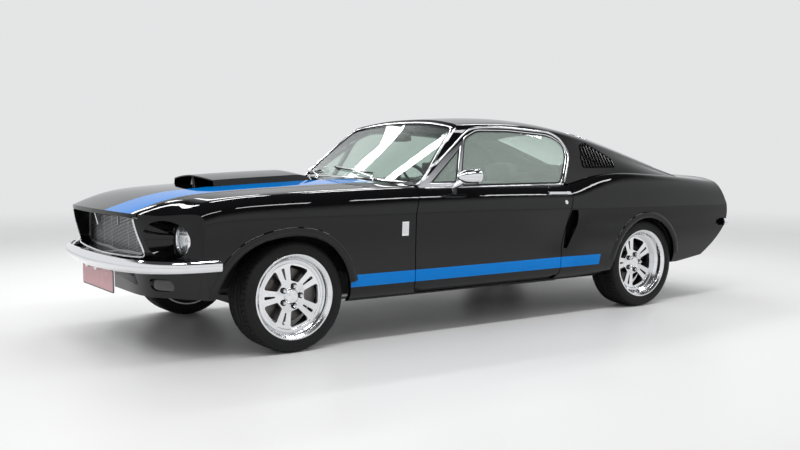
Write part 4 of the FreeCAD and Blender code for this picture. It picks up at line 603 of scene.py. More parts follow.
def make_lamp(name, spot, aim, size, power):
    """A soft rectangular lamp, hidden from the camera."""
    data = bpy.data.lights.new(name, "AREA")
    data.shape = "RECTANGLE"
    data.size, data.size_y = size
    data.energy = power
    lamp = bpy.data.objects.new(name, data)
    bpy.context.scene.collection.objects.link(lamp)
    lamp.location = spot
    lamp.rotation_euler = (Vector(aim) - Vector(spot)).to_track_quat("-Z", "Y").to_euler()
    lamp.visible_camera = False


LAMP_ROW = {"y": 2.05, "z": 3.7, "first": 3.9, "pitch": 1.75, "count": 5, "size": (1.25, 0.34), "power": 20}
FAR_LAMPS = ((1.45, -3.9), (-0.25, -4.0), (-2.0, -4.0))


def make_light():
    """Rows of ceiling lamps above the car's sides and beyond it, and the pale room round them."""
    make_world()
    row = LAMP_ROW
    for side in (1, -1):
        for i in range(row["count"]):
            x = row["first"] - i * row["pitch"]
            spot = (x, row["y"] * side, row["z"])
            make_lamp(f"ceiling_{i}_{side}", spot, (x, row["y"] * side * 0.8, 0), row["size"], row["power"])
    for i, (x, y) in enumerate(FAR_LAMPS):
        make_lamp(f"far_{i}", (x, y, row["z"]), (x, y * 0.5, 0), row["size"], row["power"] * 0.7)


# Tyres

TREAD_PITCHES = 64
TREAD_STEPS = (0.0, 0.78, 0.82, 0.96)
GROOVE_Y = (0.024, 0.060)
GROOVE_HALF = 0.0045
GROOVE_DEPTH = 0.0065
GROOVE_SLOPE = 0.001
RIB_R = 0.3026
RIB_CROWN = 0.0002
TREAD_LEAN = 0.55
SHOULDER_SIPE = {"depth": 0.0045, "inboard_of": 0.099}
RIB_SIPE = {"depth": 0.0030, "between": (0.028, 0.057)}
# A tyre's section outside the grooves as (radius, offset), from its bead outwards
SIDEWALL = [(0.2340, 0.1000), (0.2345, 0.1045), (0.2370, 0.1062), (0.2400, 0.1066), (0.2410, 0.1080),
            (0.2440, 0.1090), (0.2455, 0.1086), (0.2530, 0.1108), (0.2600, 0.1118), (0.2610, 0.1120),
            (0.2625, 0.1120), (0.2635, 0.1116), (0.2720, 0.1108), (0.2790, 0.1090), (0.2800, 0.1094),
            (0.2815, 0.1088), (0.2880, 0.1058)]
SHOULDER = [(0.2925, 0.1022), (0.2962, 0.0975), (0.2990, 0.0915), (0.3006, 0.0850), (0.3018, 0.0760),
            (0.3023, 0.0680)]


def tyre_profile():
    """The outer section of a tyre from one bead to the other, as (radius, offset, kind)."""
    side = [(r, y, "wall") for r, y in SIDEWALL] + [(r, y, "shoulder") for r, y in SHOULDER]
    floor_r = RIB_R - GROOVE_DEPTH
    for centre in sorted(GROOVE_Y, reverse=True):
        outer, inner = centre + GROOVE_HALF, centre - GROOVE_HALF
        side += [(RIB_R, outer, "rib"), (floor_r, outer - GROOVE_SLOPE, "groove"),
                 (floor_r, inner + GROOVE_SLOPE, "groove"), (RIB_R + RIB_CROWN, inner, "rib")]
    side.append((AXLE_Z, 0.0100, "rib"))
    return side + [(r, -y, kind) for r, y, kind in side[::-1]]


def make_tyre(axle, side):
    """A low road tyre: ribs, grooves and sipes on the tread, and plain moulded rings on its sidewalls."""
    profile = tyre_profile()
    count, total = len(profile), TREAD_PITCHES * len(TREAD_STEPS)
    verts, faces, keys = [], [], []
    for i in range(total):
        pitch, step = divmod(i, len(TREAD_STEPS))
        for radius, offset, kind in profile:
            lean = TREAD_LEAN * abs(offset) / TYRE_HALF if kind != "wall" else 0.0
            angle = 2 * math.pi * (pitch + TREAD_STEPS[step] + lean) / TREAD_PITCHES
            if step >= 2 and kind == "shoulder" and abs(offset) < SHOULDER_SIPE["inboard_of"]:
                radius -= SHOULDER_SIPE["depth"]
            if step >= 2 and kind == "rib" and RIB_SIPE["between"][0] < abs(offset) < RIB_SIPE["between"][1]:
                radius -= RIB_SIPE["depth"]
            verts.append(Vector((radius * math.cos(angle), offset, radius * math.sin(angle))))
    for i in range(total):
        j = (i + 1) % total
        for k in range(count - 1):
            faces.append((i * count + k, i * count + k + 1, j * count + k + 1, j * count + k))
            keys.append(0 if profile[k][2] == "wall" else 1)
        faces.append((i * count + count - 1, i * count, j * count, j * count + count - 1))
        keys.append(0)
    centre = Vector((AXLE_X[axle], WHEEL_Y * SIDES[side], AXLE_Z))
    verts = [v + centre for v in verts]
    piece = make_piece(f"road_tyre_{axle}_{side}", verts, faces, ["sidewall", "tread"],
                       f"wheel_{axle}_{side}", "tyre_rubber", face_keys=keys)
    mark_sharp(piece, 32)
    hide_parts(f"tyre_{axle}_{side}")


def mark_sharp(piece, degrees):
    piece.data.set_sharp_from_angle(angle=math.radians(degrees))


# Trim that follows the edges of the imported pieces

def spaced(line, steps, closed):
    """A line's points made evenly spaced."""
    points = list(line) + ([line[0]] if closed else [])
    total = sum((b - a).length for a, b in zip(points, points[1:]))
    made, i, walked = [], 0, 0.0
    for k in range(steps if closed else steps + 1):
        target = total * k / steps
        while i < len(points) - 2 and walked + (points[i + 1] - points[i]).length < target:
            walked += (points[i + 1] - points[i]).length
            i += 1
        run = (points[i + 1] - points[i]).length
        made.append(points[i].lerp(points[i + 1], (target - walked) / run if run else 0.0))
    return made


EDGE_FACING = 0.5


def face_edges(name, way, steps):
    """The outlines of a node's faces that look one way, longest first, with the way out at each point."""
    mesh = NODES[name].data
    way = Vector(way).normalized()
    tag = [tuple(round(c, 5) for c in v.co) for v in mesh.vertices]
    uses, normals = {}, {}
    for face in mesh.polygons:
        if face.normal.dot(way) < EDGE_FACING:
            continue
        keys = [tag[i] for i in face.vertices]
        for a, b in zip(keys, keys[1:] + keys[:1]):
            edge = (min(a, b), max(a, b))
            uses[edge] = uses.get(edge, 0) + 1
        for key in keys:
            normals[key] = normals.get(key, Vector()) + face.normal * face.area
    links = {}
    for (a, b), times in uses.items():
        if times == 1 and a != b:
            links.setdefault(a, []).append(b)
            links.setdefault(b, []).append(a)
    loops, seen = [], set()
    for start in links:
        if start in seen:
            continue
        loop, here = [start], start
        seen.add(start)
        while True:
            onward = [k for k in links[here] if k not in seen]
            if not onward:
                break
            here = onward[0]
            seen.add(here)
            loop.append(here)
        loops.append(loop)
    loops.sort(key=lambda lp: -sum((Vector(a) - Vector(b)).length for a, b in zip(lp, lp[1:])))
    made = []
    for loop in loops[:2]:
        line = spaced([Vector(k) for k in loop], steps, True)
        outs = []
        for point in line:
            nearest = min(loop, key=lambda k: (Vector(k) - point).length_squared)
            outs.append(normals[nearest].normalized())
        made.append((line, outs))
    return made


SETTLE_LIFT = 0.012
SETTLE_REACH = 0.035


def settled(line, outs, tree):
    """A line brought down onto the panels beside it."""
    made = []
    for point, out in zip(line, outs):
        spot, _, _, gap = tree.find_nearest(point + out * SETTLE_LIFT)
        made.append(spot if gap < SETTLE_REACH else point)
    return made


def eased(line, outs, passes, closed=True):
    """A line and its outward ways with small steps smoothed away. An open line keeps its ends."""
    count = len(line)
    for _ in range(passes):
        was, were = line, outs
        line, outs = list(was), list(were)
        for i in range(count) if closed else range(1, count - 1):
            after = (i + 1) % count
            line[i] = (was[i - 1] + was[i] * 2 + was[after]) / 4
            outs[i] = (were[i - 1] + were[i] * 2 + were[after]).normalized()
    return line, outs


def pushed(line, outs, distance, lift=0.0):
    """A closed line moved away from its centre within the surface, and lifted off it."""
    centre = sum(line, Vector()) / len(line)
    made = []
    for i, point in enumerate(line):
        along = (line[(i + 1) % len(line)] - line[i - 1]).normalized()
        across = along.cross(outs[i]).normalized()
        if across.dot(point - centre) < 0:
            across = -across
        made.append(point + across * distance + outs[i] * lift)
    return made


def trim_strip(name, line, outs, width, height, key, body="root", closed=True, slot="chrome"):
    verts, faces = sweep(line, half_round(width, height), outs, closed)
    piece = make_piece(name, verts, faces, key, body, slot)
    mark_sharp(piece, 50)
    return piece


SCREENS = {
    "windshield": {"way": (0.6, 0, 0.8), "panels": ["roof_panel", "cowl_panel"]},
    "rear_window": {"way": (-0.35, 0, 0.94), "panels": ["roof_panel", "deck_lid", "quarter_panel_left",
                                                        "quarter_panel_right"]},
}


def make_screen_trims():
    """Bright frames round the windscreen and the rear window, each on its rubber."""
    for name, screen in SCREENS.items():
        line, outs = eased(*face_edges(name, screen["way"], 240)[0], 6)
        panels = tree_of(screen["panels"])
        rubber = pushed(line, outs, -0.004, 0.0006)
        trim_strip(f"{name}_rubber", rubber, outs, 0.016, 0.0035, "seal", slot="tyre_rubber")
        frame_line = settled(pushed(line, outs, 0.012), outs, panels)
        frame_line, frame_outs = eased(frame_line, outs, 6)
        trim_strip(f"{name}_frame", frame_line, frame_outs, 0.019, 0.0065, "chrome")


# The side window's opening as (x, z), and how far the drip rail's middle stands outside it
WINDOW_LINE = [(0.600, 0.884), (0.482, 0.962), (0.366, 1.042), (0.250, 1.120), (0.150, 1.187), (0.070, 1.219),
               (-0.060, 1.228), (-0.221, 1.227), (-0.441, 1.211), (-0.575, 1.199), (-0.650, 1.163),
               (-0.686, 1.110), (-0.683, 1.055), (-0.635, 0.974), (-0.572, 0.882)]
RAIL_OFFSET = 0.008
RAIL_FOOT_Z = 0.872
BELT = {"z": 0.8615, "first_x": 0.590, "length": 1.150, "steps": 60}


def near_normal(tree, point, way):
    """The surface's normal nearest to a point, turned to the way given."""
    _, normal, _, _ = tree.find_nearest(point)
    return normal if normal.dot(way) > 0 else -normal


def rail_path(tree, side):
    """The drip rail's line round the side window, on the roof's skin."""
    flat = smooth_line([(x, 0, z) for x, z in WINDOW_LINE], 10)
    line = []
    for i, point in enumerate(flat):
        along = along_at(flat, i)
        spot = point + Vector((along.z, 0, -along.x)) * RAIL_OFFSET
        hit, _ = from_side(tree, spot.x, spot.z, side)
        if hit and spot.z > RAIL_FOOT_Z and abs(hit.y) > 0.5:
            line.append(hit)
    return line


def make_window_trims():
    """The drip rails, the bright frames of the door panes and the vent panes, and the belt strips."""
    skin = tree_of(["roof_panel", "door_glass_left", "door_glass_right"])
    for name, side in SIDES.items():
        way = Vector((0, side, 0.2))
        line = spaced(rail_path(skin, side), 160, False)
        outs = [near_normal(skin, point, way) for point in line]
        line, outs = eased(line, outs, 6, closed=False)
        trim_strip(f"drip_rail_{name}", line, outs, 0.017, 0.0085, "chrome", closed=False)
        body = f"door_{name}"
        panes = face_edges(f"door_glass_{name}", (0, side, 0.4), 150)
        for stem, (line, outs) in zip(("window", "vent"), panes):
            line, outs = eased(line, outs, 3)
            seal = pushed(line, outs, -0.010, 0.0004)
            trim_strip(f"{stem}_seal_{name}", seal, outs, 0.008, 0.0025, "seal", body, slot="tyre_rubber")
            bright = pushed(line, outs, 0.001, 0.001)
            trim_strip(f"{stem}_frame_{name}", bright, outs, 0.013, 0.0045, "chrome", body)
            if stem == "vent":
                rubber = pushed(line, outs, 0.016, 0.0012)
                trim_strip(f"vent_rubber_{name}", rubber, outs, 0.011, 0.003, "seal", body,
                           slot="tyre_rubber")
        door = tree_of([body])
        belt = []
        for i in range(BELT["steps"] + 1):
            x = BELT["first_x"] - BELT["length"] * i / BELT["steps"]
            hit, _ = from_side(door, x, BELT["z"], side)
            if hit:
                belt.append(hit + Vector((0, -0.004 * side, 0.0075)))
        belt_outs = [Vector((0, side * 0.5, 0.85))] * len(belt)
        trim_strip(f"belt_strip_{name}", belt, belt_outs, 0.011, 0.004, "chrome", body, closed=False)


# The grille mouth's lower outline as (y, z), from its top at one side to the other
MOUTH_LINE = [(0.528, 0.742), (0.539, 0.655), (0.552, 0.575), (0.549, 0.553), (0.528, 0.542), (0.400, 0.536),
              (0.200, 0.530), (0.0, 0.526)]
MOUTH_LEAST_X = 2.15
MOUTH_MIDDLE_Z = 0.65
MOULDING_OFFSET = 0.004
# Corners of a dark board behind the grille mesh, which paints the shade inside the mouth
MOUTH_SHADE_BOARD = ((2.118, -0.545, 0.535), (2.122, 0.545, 0.736))


def make_mouth():
    """The thin bright moulding round the mouth, and a dark board behind its mesh that paints the shade inside
    the mouth.
    """
    nose = tree_of(["nose_panel"])
    half = smooth_line([(0, y, z) for y, z in MOUTH_LINE], 8)
    flat = half + [Vector((0, -p.y, p.z)) for p in half[-2::-1]]
    line = []
    for i, point in enumerate(flat):
        along = along_at(flat, i)
        outward = Vector((0, along.z, -along.y))
        if outward.dot(Vector((0, point.y, point.z - MOUTH_MIDDLE_Z))) < 0:
            outward = -outward
        spot = point + outward * MOULDING_OFFSET
        hit, _ = from_end(nose, spot.y, spot.z)
        if hit and hit.x > MOUTH_LEAST_X:
            line.append(hit)
    line = spaced(line, 150, False)
    outs = [Vector((1, 0, -0.1))] * len(line)
    trim_strip("mouth_moulding", line, outs, 0.010, 0.007, "chrome", closed=False)
    # A dark board behind the mesh: painted shade of the depth behind the grille.
    shade_board = make_piece("mouth_shade_board", *block(*MOUTH_SHADE_BOARD), "dark", "root", "trim_plastic", smooth=False)
    add_modifier(shade_board, "BEVEL", width=0.001, segments=1)


LAMP_SPOT = (2.034, 0.688, 0.629)
LAMP_RING = [(0.0868, -0.020), (0.0868, 0.002), (0.0850, 0.0065), (0.0815, 0.0085), (0.0780, 0.0070),
             (0.0755, 0.0020), (0.0750, -0.0040), (0.0765, -0.020)]
BULB_SHIELD = [(0.0, -0.020), (0.010, -0.021), (0.0125, -0.028), (0.011, -0.052), (0.0, -0.052)]


def facing_forward(part, side, spot=LAMP_SPOT):
    """A part turned about Y, stood to face forwards at a lamp's place."""
    return placed(part, (spot[0], spot[1] * side, spot[2]), -90)


def make_headlamps():
    """Sealed round lamps: a bright ring, a silvered bowl, a bulb shield and a fluted glass."""
    bowl = [(0.006 + 0.0695 * (k / 14) ** 0.72, -0.055 + 0.052 * (k / 14) ** 1.7) for k in range(15)]
    bowl += [(r + 0.0015, y - 0.0015) for r, y in bowl[::-1]]
    parts = {"ring": (lathe(LAMP_RING, 96), "chrome", "chrome"),
             "bowl": (lathe(bowl, 72), "reflector", "chrome"),
             "bulb": (lathe(BULB_SHIELD, 32, closed=False), "chrome", "chrome"),
             "glass": (lens_disc(0.0752, 0.020, 44), "lens", "lamp_glass")}
    for name, side in SIDES.items():
        for stem, (shape, key, slot) in parts.items():
            piece = make_piece(f"headlamp_{stem}_{name}", *facing_forward(shape, side), key, "root", slot)
            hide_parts("headlamps")


LENS = {"steps": 96, "rim": 0.004, "wall": 0.0035, "middle_wall": 0.0045, "flute": 0.0011,
        "flute_pitch": 0.0095, "row": 0.0008, "row_pitch": 0.034}


def lens_disc(radius, rise, count):
    """A domed glass with upright flutes on its inner face, as thick as a real lens."""
    verts, faces = [], []
    steps = LENS["steps"]
    for back in (False, True):
        for k in range(1, count + 1):
            r = radius * k / count
            for i in range(steps):
                angle = 2 * math.pi * i / steps
                across, height = r * math.cos(angle), r * math.sin(angle)
                y = rise * (1 - (r / radius) ** 2) - LENS["rim"]
                if back:
                    flute = 0.5 + 0.5 * math.cos(across * 2 * math.pi / LENS["flute_pitch"])
                    row = 0.5 + 0.5 * math.cos(height * 2 * math.pi / LENS["row_pitch"])
                    y -= LENS["wall"] + LENS["flute"] * flute + LENS["row"] * row
                verts.append(Vector((across, y, height)))
        verts.append(Vector((0, rise - LENS["rim"] - (LENS["middle_wall"] if back else 0.0), 0)))
    per_side = count * steps + 1
    for start in (0, per_side):
        faces += rings(count - 1, steps, start)
        faces += [(start + per_side - 1, start + i, start + (i + 1) % steps) for i in range(steps)]
    edge = (count - 1) * steps
    return verts, faces + bridge(edge, per_side + edge, steps)


PLATE = {"x": 2.263, "half": 0.270, "low": 0.324, "high": 0.444, "corner": 0.012}
PLATE_SCREW = [(0.0, 0.0022), (0.004, 0.0018), (0.0058, 0.0), (0.0, 0.0)]
PLATE_SCREW_Y = 0.17


def make_plate():
    """The blank plate: a dark holder, a pressed pale plate with a raised border, and two screws."""
    x, half, low, high = PLATE["x"], PLATE["half"], PLATE["low"], PLATE["high"]

    def slab(shrink, x0, x1):
        half_z, radius = (high - low) / 2 - shrink, PLATE["corner"] - shrink / 2
        return rounded_slab(half - shrink, (low + high) / 2, half_z, radius, x0, x1)
    holder = slab(-0.004, x + 0.0003, x + 0.004)
    piece = make_piece("plate_holder", *holder, "satin", "root", "trim_plastic", smooth=False)
    add_modifier(piece, "BEVEL", width=0.001, segments=2)
    verts, faces = joined([slab(0.003, x + 0.004, x + 0.0055), slab(0.0155, x + 0.0055, x + 0.0058)])
    piece = make_piece("plate_blank", verts, faces, "plate", "root", "body_paint", smooth=False)
    add_modifier(piece, "BEVEL", width=0.0006, segments=2)
    head = lathe(PLATE_SCREW, 16, closed=False)
    screws = [facing_forward(head, side, (x + 0.0056, PLATE_SCREW_Y, high - 0.020)) for side in (-1, 1)]
    make_piece("plate_screws", *joined(screws), "chrome", "root", "chrome")


CORNER_STEPS = 6


def rounded_slab(half_y, z, half_z, radius, x0, x1):
    """A slab facing forwards with rounded corners."""
    outline = []
    for cy, cz, start in ((1, 1, 0), (-1, 1, 90), (-1, -1, 180), (1, -1, 270)):
        for k in range(CORNER_STEPS + 1):
            angle = math.radians(start + 90 * k / CORNER_STEPS)
            outline.append((cy * (half_y - radius) + radius * math.cos(angle),
                            z + cz * (half_z - radius) + radius * math.sin(angle)))
    count = len(outline)
    verts = [Vector((x, a, b)) for x in (x0, x1) for a, b in outline]
    ends = [tuple(range(count))[::-1], tuple(range(count, 2 * count))]
    return verts, ends + bridge(0, count, count)


VALANCE_LAMP = {"y": 0.600, "z": 0.392, "half_width": 0.0612, "half_height": 0.0332, "margin": 0.012,
                "rings": 10, "steps": 64}
# How far each layer stands behind the valance's face, and its dome: the glass, then the housing
VALANCE_LAMP_LAYERS = ((-0.012, 0.008), (-0.034, 0.0))


def make_valance_lamps():
    """Smoked oval lamps in the valance's openings, on dark housings."""
    lamp = VALANCE_LAMP
    valance = tree_of(["front_valance"])
    reach = lamp["half_width"] + lamp["margin"]
    count, steps = lamp["rings"], lamp["steps"]
    for name, side in SIDES.items():
        outer, _ = from_end(valance, (lamp["y"] + reach) * side, lamp["z"])
        inner, _ = from_end(valance, (lamp["y"] - reach) * side, lamp["z"])
        slope = (outer.x - inner.x) / (2 * reach)
        middle = (outer.x + inner.x) / 2
        verts = []
        for base, dome in VALANCE_LAMP_LAYERS:
            for k, i in itertools.product(range(count + 1), range(steps)):
                t, angle = k / count, 2 * math.pi * i / steps
                wide = superellipse(math.cos(angle)) * lamp["half_width"] * t
                tall = superellipse(math.sin(angle)) * lamp["half_height"] * t
                x = middle + slope * wide + base + dome * (1 - t ** 2)
                verts.append(Vector((x, (lamp["y"] + wide) * side, lamp["z"] + tall)))
        back, rim = (count + 1) * steps, count * steps
        faces = rings(count, steps) + rings(count, steps, back) + bridge(rim, back + rim, steps)
        piece = make_piece(f"valance_lamp_{name}", verts, faces, "smoked_lens", "root", "lamp_glass")
        mark_sharp(piece, 40)


def superellipse(value):
    return math.copysign(abs(value) ** 0.62, value)


# Each wiper: its pivot's y, and its blade's ends as (y, z) on the glass
WIPERS = ((0.360, (0.290, 0.941), (-0.235, 0.972)), (-0.330, (-0.400, 0.946), (-0.780, 0.921)))
WIPER_PIVOT_X = 0.665
WIPER_STEPS = 32
BLADE_HEIGHT = 0.011
WIPER_CAP = [(0.0, 0.024), (0.008, 0.023), (0.012, 0.018), (0.013, 0.0), (0.016, -0.002)]


def make_wipers():
    """Two bright wiper arms with rubber blades, parked along the foot of the windscreen."""
    glass = tree_of(["windshield"])
    cowl = tree_of(["cowl_panel"])
    for number, (pivot_y, first, last) in enumerate(WIPERS):
        blade, outs = [], []
        for i in range(WIPER_STEPS + 1):
            t = i / WIPER_STEPS
            y, z = first[0] + (last[0] - first[0]) * t, first[1] + (last[1] - first[1]) * t
            hit, normal = from_end(glass, y, z)
            if hit:
                blade.append(hit + normal * 0.003)
                outs.append(normal)
        if len(blade) < 8:
            continue
        trim_strip(f"wiper_blade_{number}", blade, outs, 0.006, BLADE_HEIGHT, "seal", closed=False,
                   slot="tyre_rubber")
        spine = [p + n * BLADE_HEIGHT for p, n in zip(blade, outs)]
        trim_strip(f"wiper_spine_{number}", spine[3:-3], outs[3:-3], 0.008, 0.003, "chrome", closed=False)
        foot, _ = from_above(cowl, WIPER_PIVOT_X, pivot_y)
        grip = spine[len(spine) // 2]
        arm = smooth_line([foot + Vector((0, 0, 0.016)), foot.lerp(grip, 0.3) + Vector((0.004, 0, 0.012)),
                           foot.lerp(grip, 0.7) + Vector((0.003, 0, 0.006)), grip + Vector((0, 0, 0.001))], 8)
        arm_outs = [Vector((0.5, 0, 1))] * len(arm)
        trim_strip(f"wiper_arm_{number}", arm, arm_outs, 0.010, 0.004, "chrome", closed=False)
        cap = lathe(WIPER_CAP, 24, closed=False)
        make_piece(f"wiper_pivot_{number}", *placed(cap, foot, 90, "X"), "chrome", "root", "chrome")


COWL_VENTS = {"x": (0.600, 0.735), "first_y": 0.100, "pitch": 0.026, "count": 22, "width": 0.010,
              "height": 0.0018, "steps": 8}


def make_cowl_vents():
    """Rows of narrow dark strips across the cowl: painted shade in place of its air slots."""
    cowl = tree_of(["cowl_panel"])
    vents = COWL_VENTS
    parts = []
    for side in (1, -1):
        for i in range(vents["count"]):
            y = side * (vents["first_y"] + vents["pitch"] * i)
            line = []
            for k in range(vents["steps"] + 1):
                x = vents["x"][0] + (vents["x"][1] - vents["x"][0]) * k / vents["steps"]
                hit, normal = from_above(cowl, x, y)
                if hit and normal.z > 0.9:
                    line.append(hit + Vector((0, 0, 0.0002)))
            if len(line) > 4:
                parts.append(sweep(line[1:-1], half_round(vents["width"], vents["height"], 4)))
    # Dark strips on the skin of the cowl: painted shade of its air slots.
    make_piece("cowl_vent_shade", *joined(parts), "dark", "root", "trim_plastic")


SCOOP = {"front": 1.690, "rear": 0.935, "half": 0.300, "rear_half": 0.240, "side": 0.037, "crown": 0.058,
         "shoulder": 0.965, "full_x": 1.160, "wall": 0.006, "depth": 0.130, "bow": 0.020}
SCOOP_COLUMNS = 32
SCOOP_ROWS = {"outer": 60, "inner": 14}
# The wedge between the nostrils: half its width at the foot, front and back, and at the top
WEDGE_STEPS = 12
WEDGE_FOOT = (0.026, 0.046)
WEDGE_TOP = 0.006


def smooth_step(value, low, high):
    t = min(max((value - low) / (high - low), 0.0), 1.0)
    return t * t * (3 - 2 * t)


def scoop_top(hood, x, v, drop):
    """A point of the scoop's skin, at x and at v of its half-width, lowered by drop."""
    rise = smooth_step(x, SCOOP["rear"] - 0.02, SCOOP["full_x"])
    half = SCOOP["rear_half"] + (SCOOP["half"] - SCOOP["rear_half"]) * smooth_step(x, SCOOP["rear"], 1.30)
    base, _ = from_above(hood, x, half * v * 0.98)
    share = abs(v) / SCOOP["shoulder"]
    if share <= 1:
        height = SCOOP["side"] + (SCOOP["crown"] - SCOOP["side"]) * (1 - share ** 1.5)
    else:
        over = (abs(v) - SCOOP["shoulder"]) / (1 - SCOOP["shoulder"])
        height = SCOOP["side"] * (1 - over)
    return Vector((x, half * v, base.z - 0.001 + max(height * rise - drop, 0.0)))


def scoop_columns():
    """The places across the scoop, from -1 to 1, with a crease at each shoulder."""
    edge = SCOOP["shoulder"]
    top = [-edge + 2 * edge * j / SCOOP_COLUMNS for j in range(SCOOP_COLUMNS + 1)]
    wall = [1 - (1 - edge) * k / 3 for k in range(3)]
    return [-v for v in wall] + top + wall[::-1]


def make_hood_scoop():
    """A low flat-sided scoop on the hood, with two open nostrils and a wedge between them."""
    hood = tree_of(["hood"])
    columns = scoop_columns()
    ny = len(columns) - 1
    verts, faces = [], []

    def skin(count, x_last, drop):
        start = len(verts)
        for i in range(count + 1):
            x = SCOOP["front"] + (x_last - SCOOP["front"]) * i / count
            for v in columns:
                bow = SCOOP["bow"] * (1 - v * v) * (1 - i / count)
                verts.append(scoop_top(hood, x + bow, v * (1 - drop * 2), drop))
        faces.extend(sheet(count, ny, start))
        return start
    outer = skin(SCOOP_ROWS["outer"], SCOOP["rear"], 0.0)
    inner = skin(SCOOP_ROWS["inner"], SCOOP["front"] - SCOOP["depth"], SCOOP["wall"])
    for j in range(ny):
        faces.append((outer + j, outer + j + 1, inner + j + 1, inner + j))
    piece = make_piece("hood_scoop_shell", verts, faces, "plain_paint", "hood", "body_paint")
    mark_sharp(piece, 40)
    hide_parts("hood_scoop")
    # A dark board at the back of the nostrils: painted shade deep inside them.
    back = SCOOP["front"] - SCOOP["depth"] + 0.004
    shade_board = []
    for j in range(ny + 1):
        v = -0.985 + 1.97 * j / ny
        top = scoop_top(hood, back, v, SCOOP["wall"] * 0.5)
        low, _ = from_above(hood, back, top.y)
        shade_board += [Vector((back, top.y, low.z - 0.001)), top]
    strip = [(2 * j, 2 * j + 2, 2 * j + 3, 2 * j + 1) for j in range(ny)]
    piece = make_piece("hood_scoop_throat_shade", shade_board, strip, "dark", "hood", "trim_plastic", smooth=False)
    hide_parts("hood_scoop")
    wall = []
    for i in range(WEDGE_STEPS + 1):
        x = SCOOP["front"] + 0.004 - (SCOOP["depth"] - 0.002) * i / WEDGE_STEPS
        top = scoop_top(hood, min(x, SCOOP["front"]), 0.0, SCOOP["wall"] * 0.5)
        low, _ = from_above(hood, x, 0.0)
        foot = WEDGE_FOOT[0] + (WEDGE_FOOT[1] - WEDGE_FOOT[0]) * i / WEDGE_STEPS
        wall += [Vector((x, -foot, low.z - 0.001)), Vector((x, -WEDGE_TOP, top.z)),
                 Vector((x, foot, low.z - 0.001)), Vector((x, WEDGE_TOP, top.z))]
    strips = []
    for a in range(0, 4 * WEDGE_STEPS, 4):
        strips += [(a, a + 4, a + 5, a + 1), (a + 2, a + 3, a + 7, a + 6)]
    strips += [(0, 1, 3, 2)]
    piece = make_piece("hood_scoop_divider", wall, strips, "plain_paint", "hood", "body_paint")
    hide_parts("hood_scoop")


RELEASE_LINE = ((2.250, -0.072, 0.740), (2.246, -0.066, 0.715), (2.238, -0.056, 0.672))


def make_hood_release():
    """The small bright release lever that hangs behind the hood's lip."""
    line = [Vector(spot) for spot in RELEASE_LINE]
    trim_strip("hood_release", line, [Vector((1, 0.2, 0))] * 3, 0.009, 0.005, "chrome", "hood", closed=False)


ARCHES = {"front": {"panel": "fender", "lift": 0.026}, "rear": {"panel": "quarter_panel", "lift": 0.022}}
# The arch's edge is sought outwards from a radius, where the skin stands far enough out
ARCH_SEARCH = {"degrees": (8, 173, 3), "first_r": 0.315, "step": 0.0025, "tries": 60, "least_y": 0.74}


def make_arch_lips():
    """The raised lips that the panels have round their wheel openings."""
    seek = ARCH_SEARCH
    for axle, arch in ARCHES.items():
        for name, side in SIDES.items():
            panel = tree_of([f"{arch['panel']}_{name}"])
            line, outs = [], []
            for degrees in range(*seek["degrees"]):
                angle = math.radians(degrees)
                for step in range(seek["tries"]):
                    radius = seek["first_r"] + seek["step"] * step
                    x = AXLE_X[axle] + radius * math.cos(angle)
                    z = AXLE_Z + radius * math.sin(angle)
                    hit, _ = from_side(panel, x, z, side)
                    if hit and abs(hit.y) > seek["least_y"]:
                        break
                radius += arch["lift"]
                x, z = AXLE_X[axle] + radius * math.cos(angle), AXLE_Z + radius * math.sin(angle)
                hit, normal = from_side(panel, x, z, side)
                if hit and abs(hit.y) > seek["least_y"]:
                    line.append(hit - normal * 0.001)
                    outs.append(normal if normal.y * side > 0 else -normal)
            line, outs = eased(line, outs, 4, closed=False)
            piece = trim_strip(f"arch_lip_{axle}_{name}", line, outs, 0.046, 0.011, "plain_paint",
                               closed=False, slot="body_paint")
            mark_sharp(piece, 80)


LOUVRES = {"count": 11, "x": (-0.8208, -1.1292), "half": 0.0062, "rise": 0.013, "low": 0.972,
           "upper": ((-0.790, 0.968), (-0.842, 1.120), (-0.930, 1.132), (-1.040, 1.082), (-1.160, 1.016))}
LOUVRE_SLOT_DEPTH = 0.003
LOUVRE_REACH = 0.035
RIB_ROWS = 28
RIB_COLUMNS = 8
RIB_END = 0.012


def make_louvre_ribs():
    """Rounded gloss slats with domed ends, which stand out between the slots of the louvre panel, and painted
    shade down in the slots.
    """
    first, last = LOUVRES["x"]
    pitch = (last - first) / (LOUVRES["count"] - 1)
    low = LOUVRES["low"]
    for name, side in SIDES.items():
        panel = tree_of([f"quarter_panel_{name}", "roof_panel"])
        verts, faces = [], []
        for i in range(LOUVRES["count"]):
            x = first + pitch * i
            top = louvre_top(x)
            faces += sheet(RIB_ROWS, RIB_COLUMNS, len(verts))
            for k in range(RIB_ROWS + 1):
                z = low + (top - low) * (0.5 - 0.5 * math.cos(math.pi * k / RIB_ROWS))
                end = min(z - low, top - z, RIB_END) / RIB_END
                swell = math.sqrt(max(1 - (1 - end) ** 2, 0.0))
                skin_y = louvre_skin(panel, x, z, side)
                for m in range(RIB_COLUMNS + 1):
                    angle = math.pi * m / RIB_COLUMNS
                    out = LOUVRES["rise"] * math.sin(angle) * swell
                    verts.append(Vector((x + LOUVRES["half"] * math.cos(angle) * (0.35 + 0.65 * swell),
                                         skin_y + out * side, z)))
        make_piece(f"louvre_ribs_{name}", verts, faces, "plain_paint", "root", "body_paint")
    # Roof panel faces down in the slots take the matt near-black: painted shade in the recesses.
    roof = tree_of(["roof_panel"])
    dress_faces("roof_panel", "dark", lambda c, n: in_louvre_slot(roof, c))


def louvre_top(x):
    """The height of the louvre recess's upper edge at x."""
    for (x0, z0), (x1, z1) in zip(LOUVRES["upper"], LOUVRES["upper"][1:]):
        if x >= x1:
            return z0 + (z1 - z0) * (x - x0) / (x1 - x0)
    return LOUVRES["upper"][-1][1]


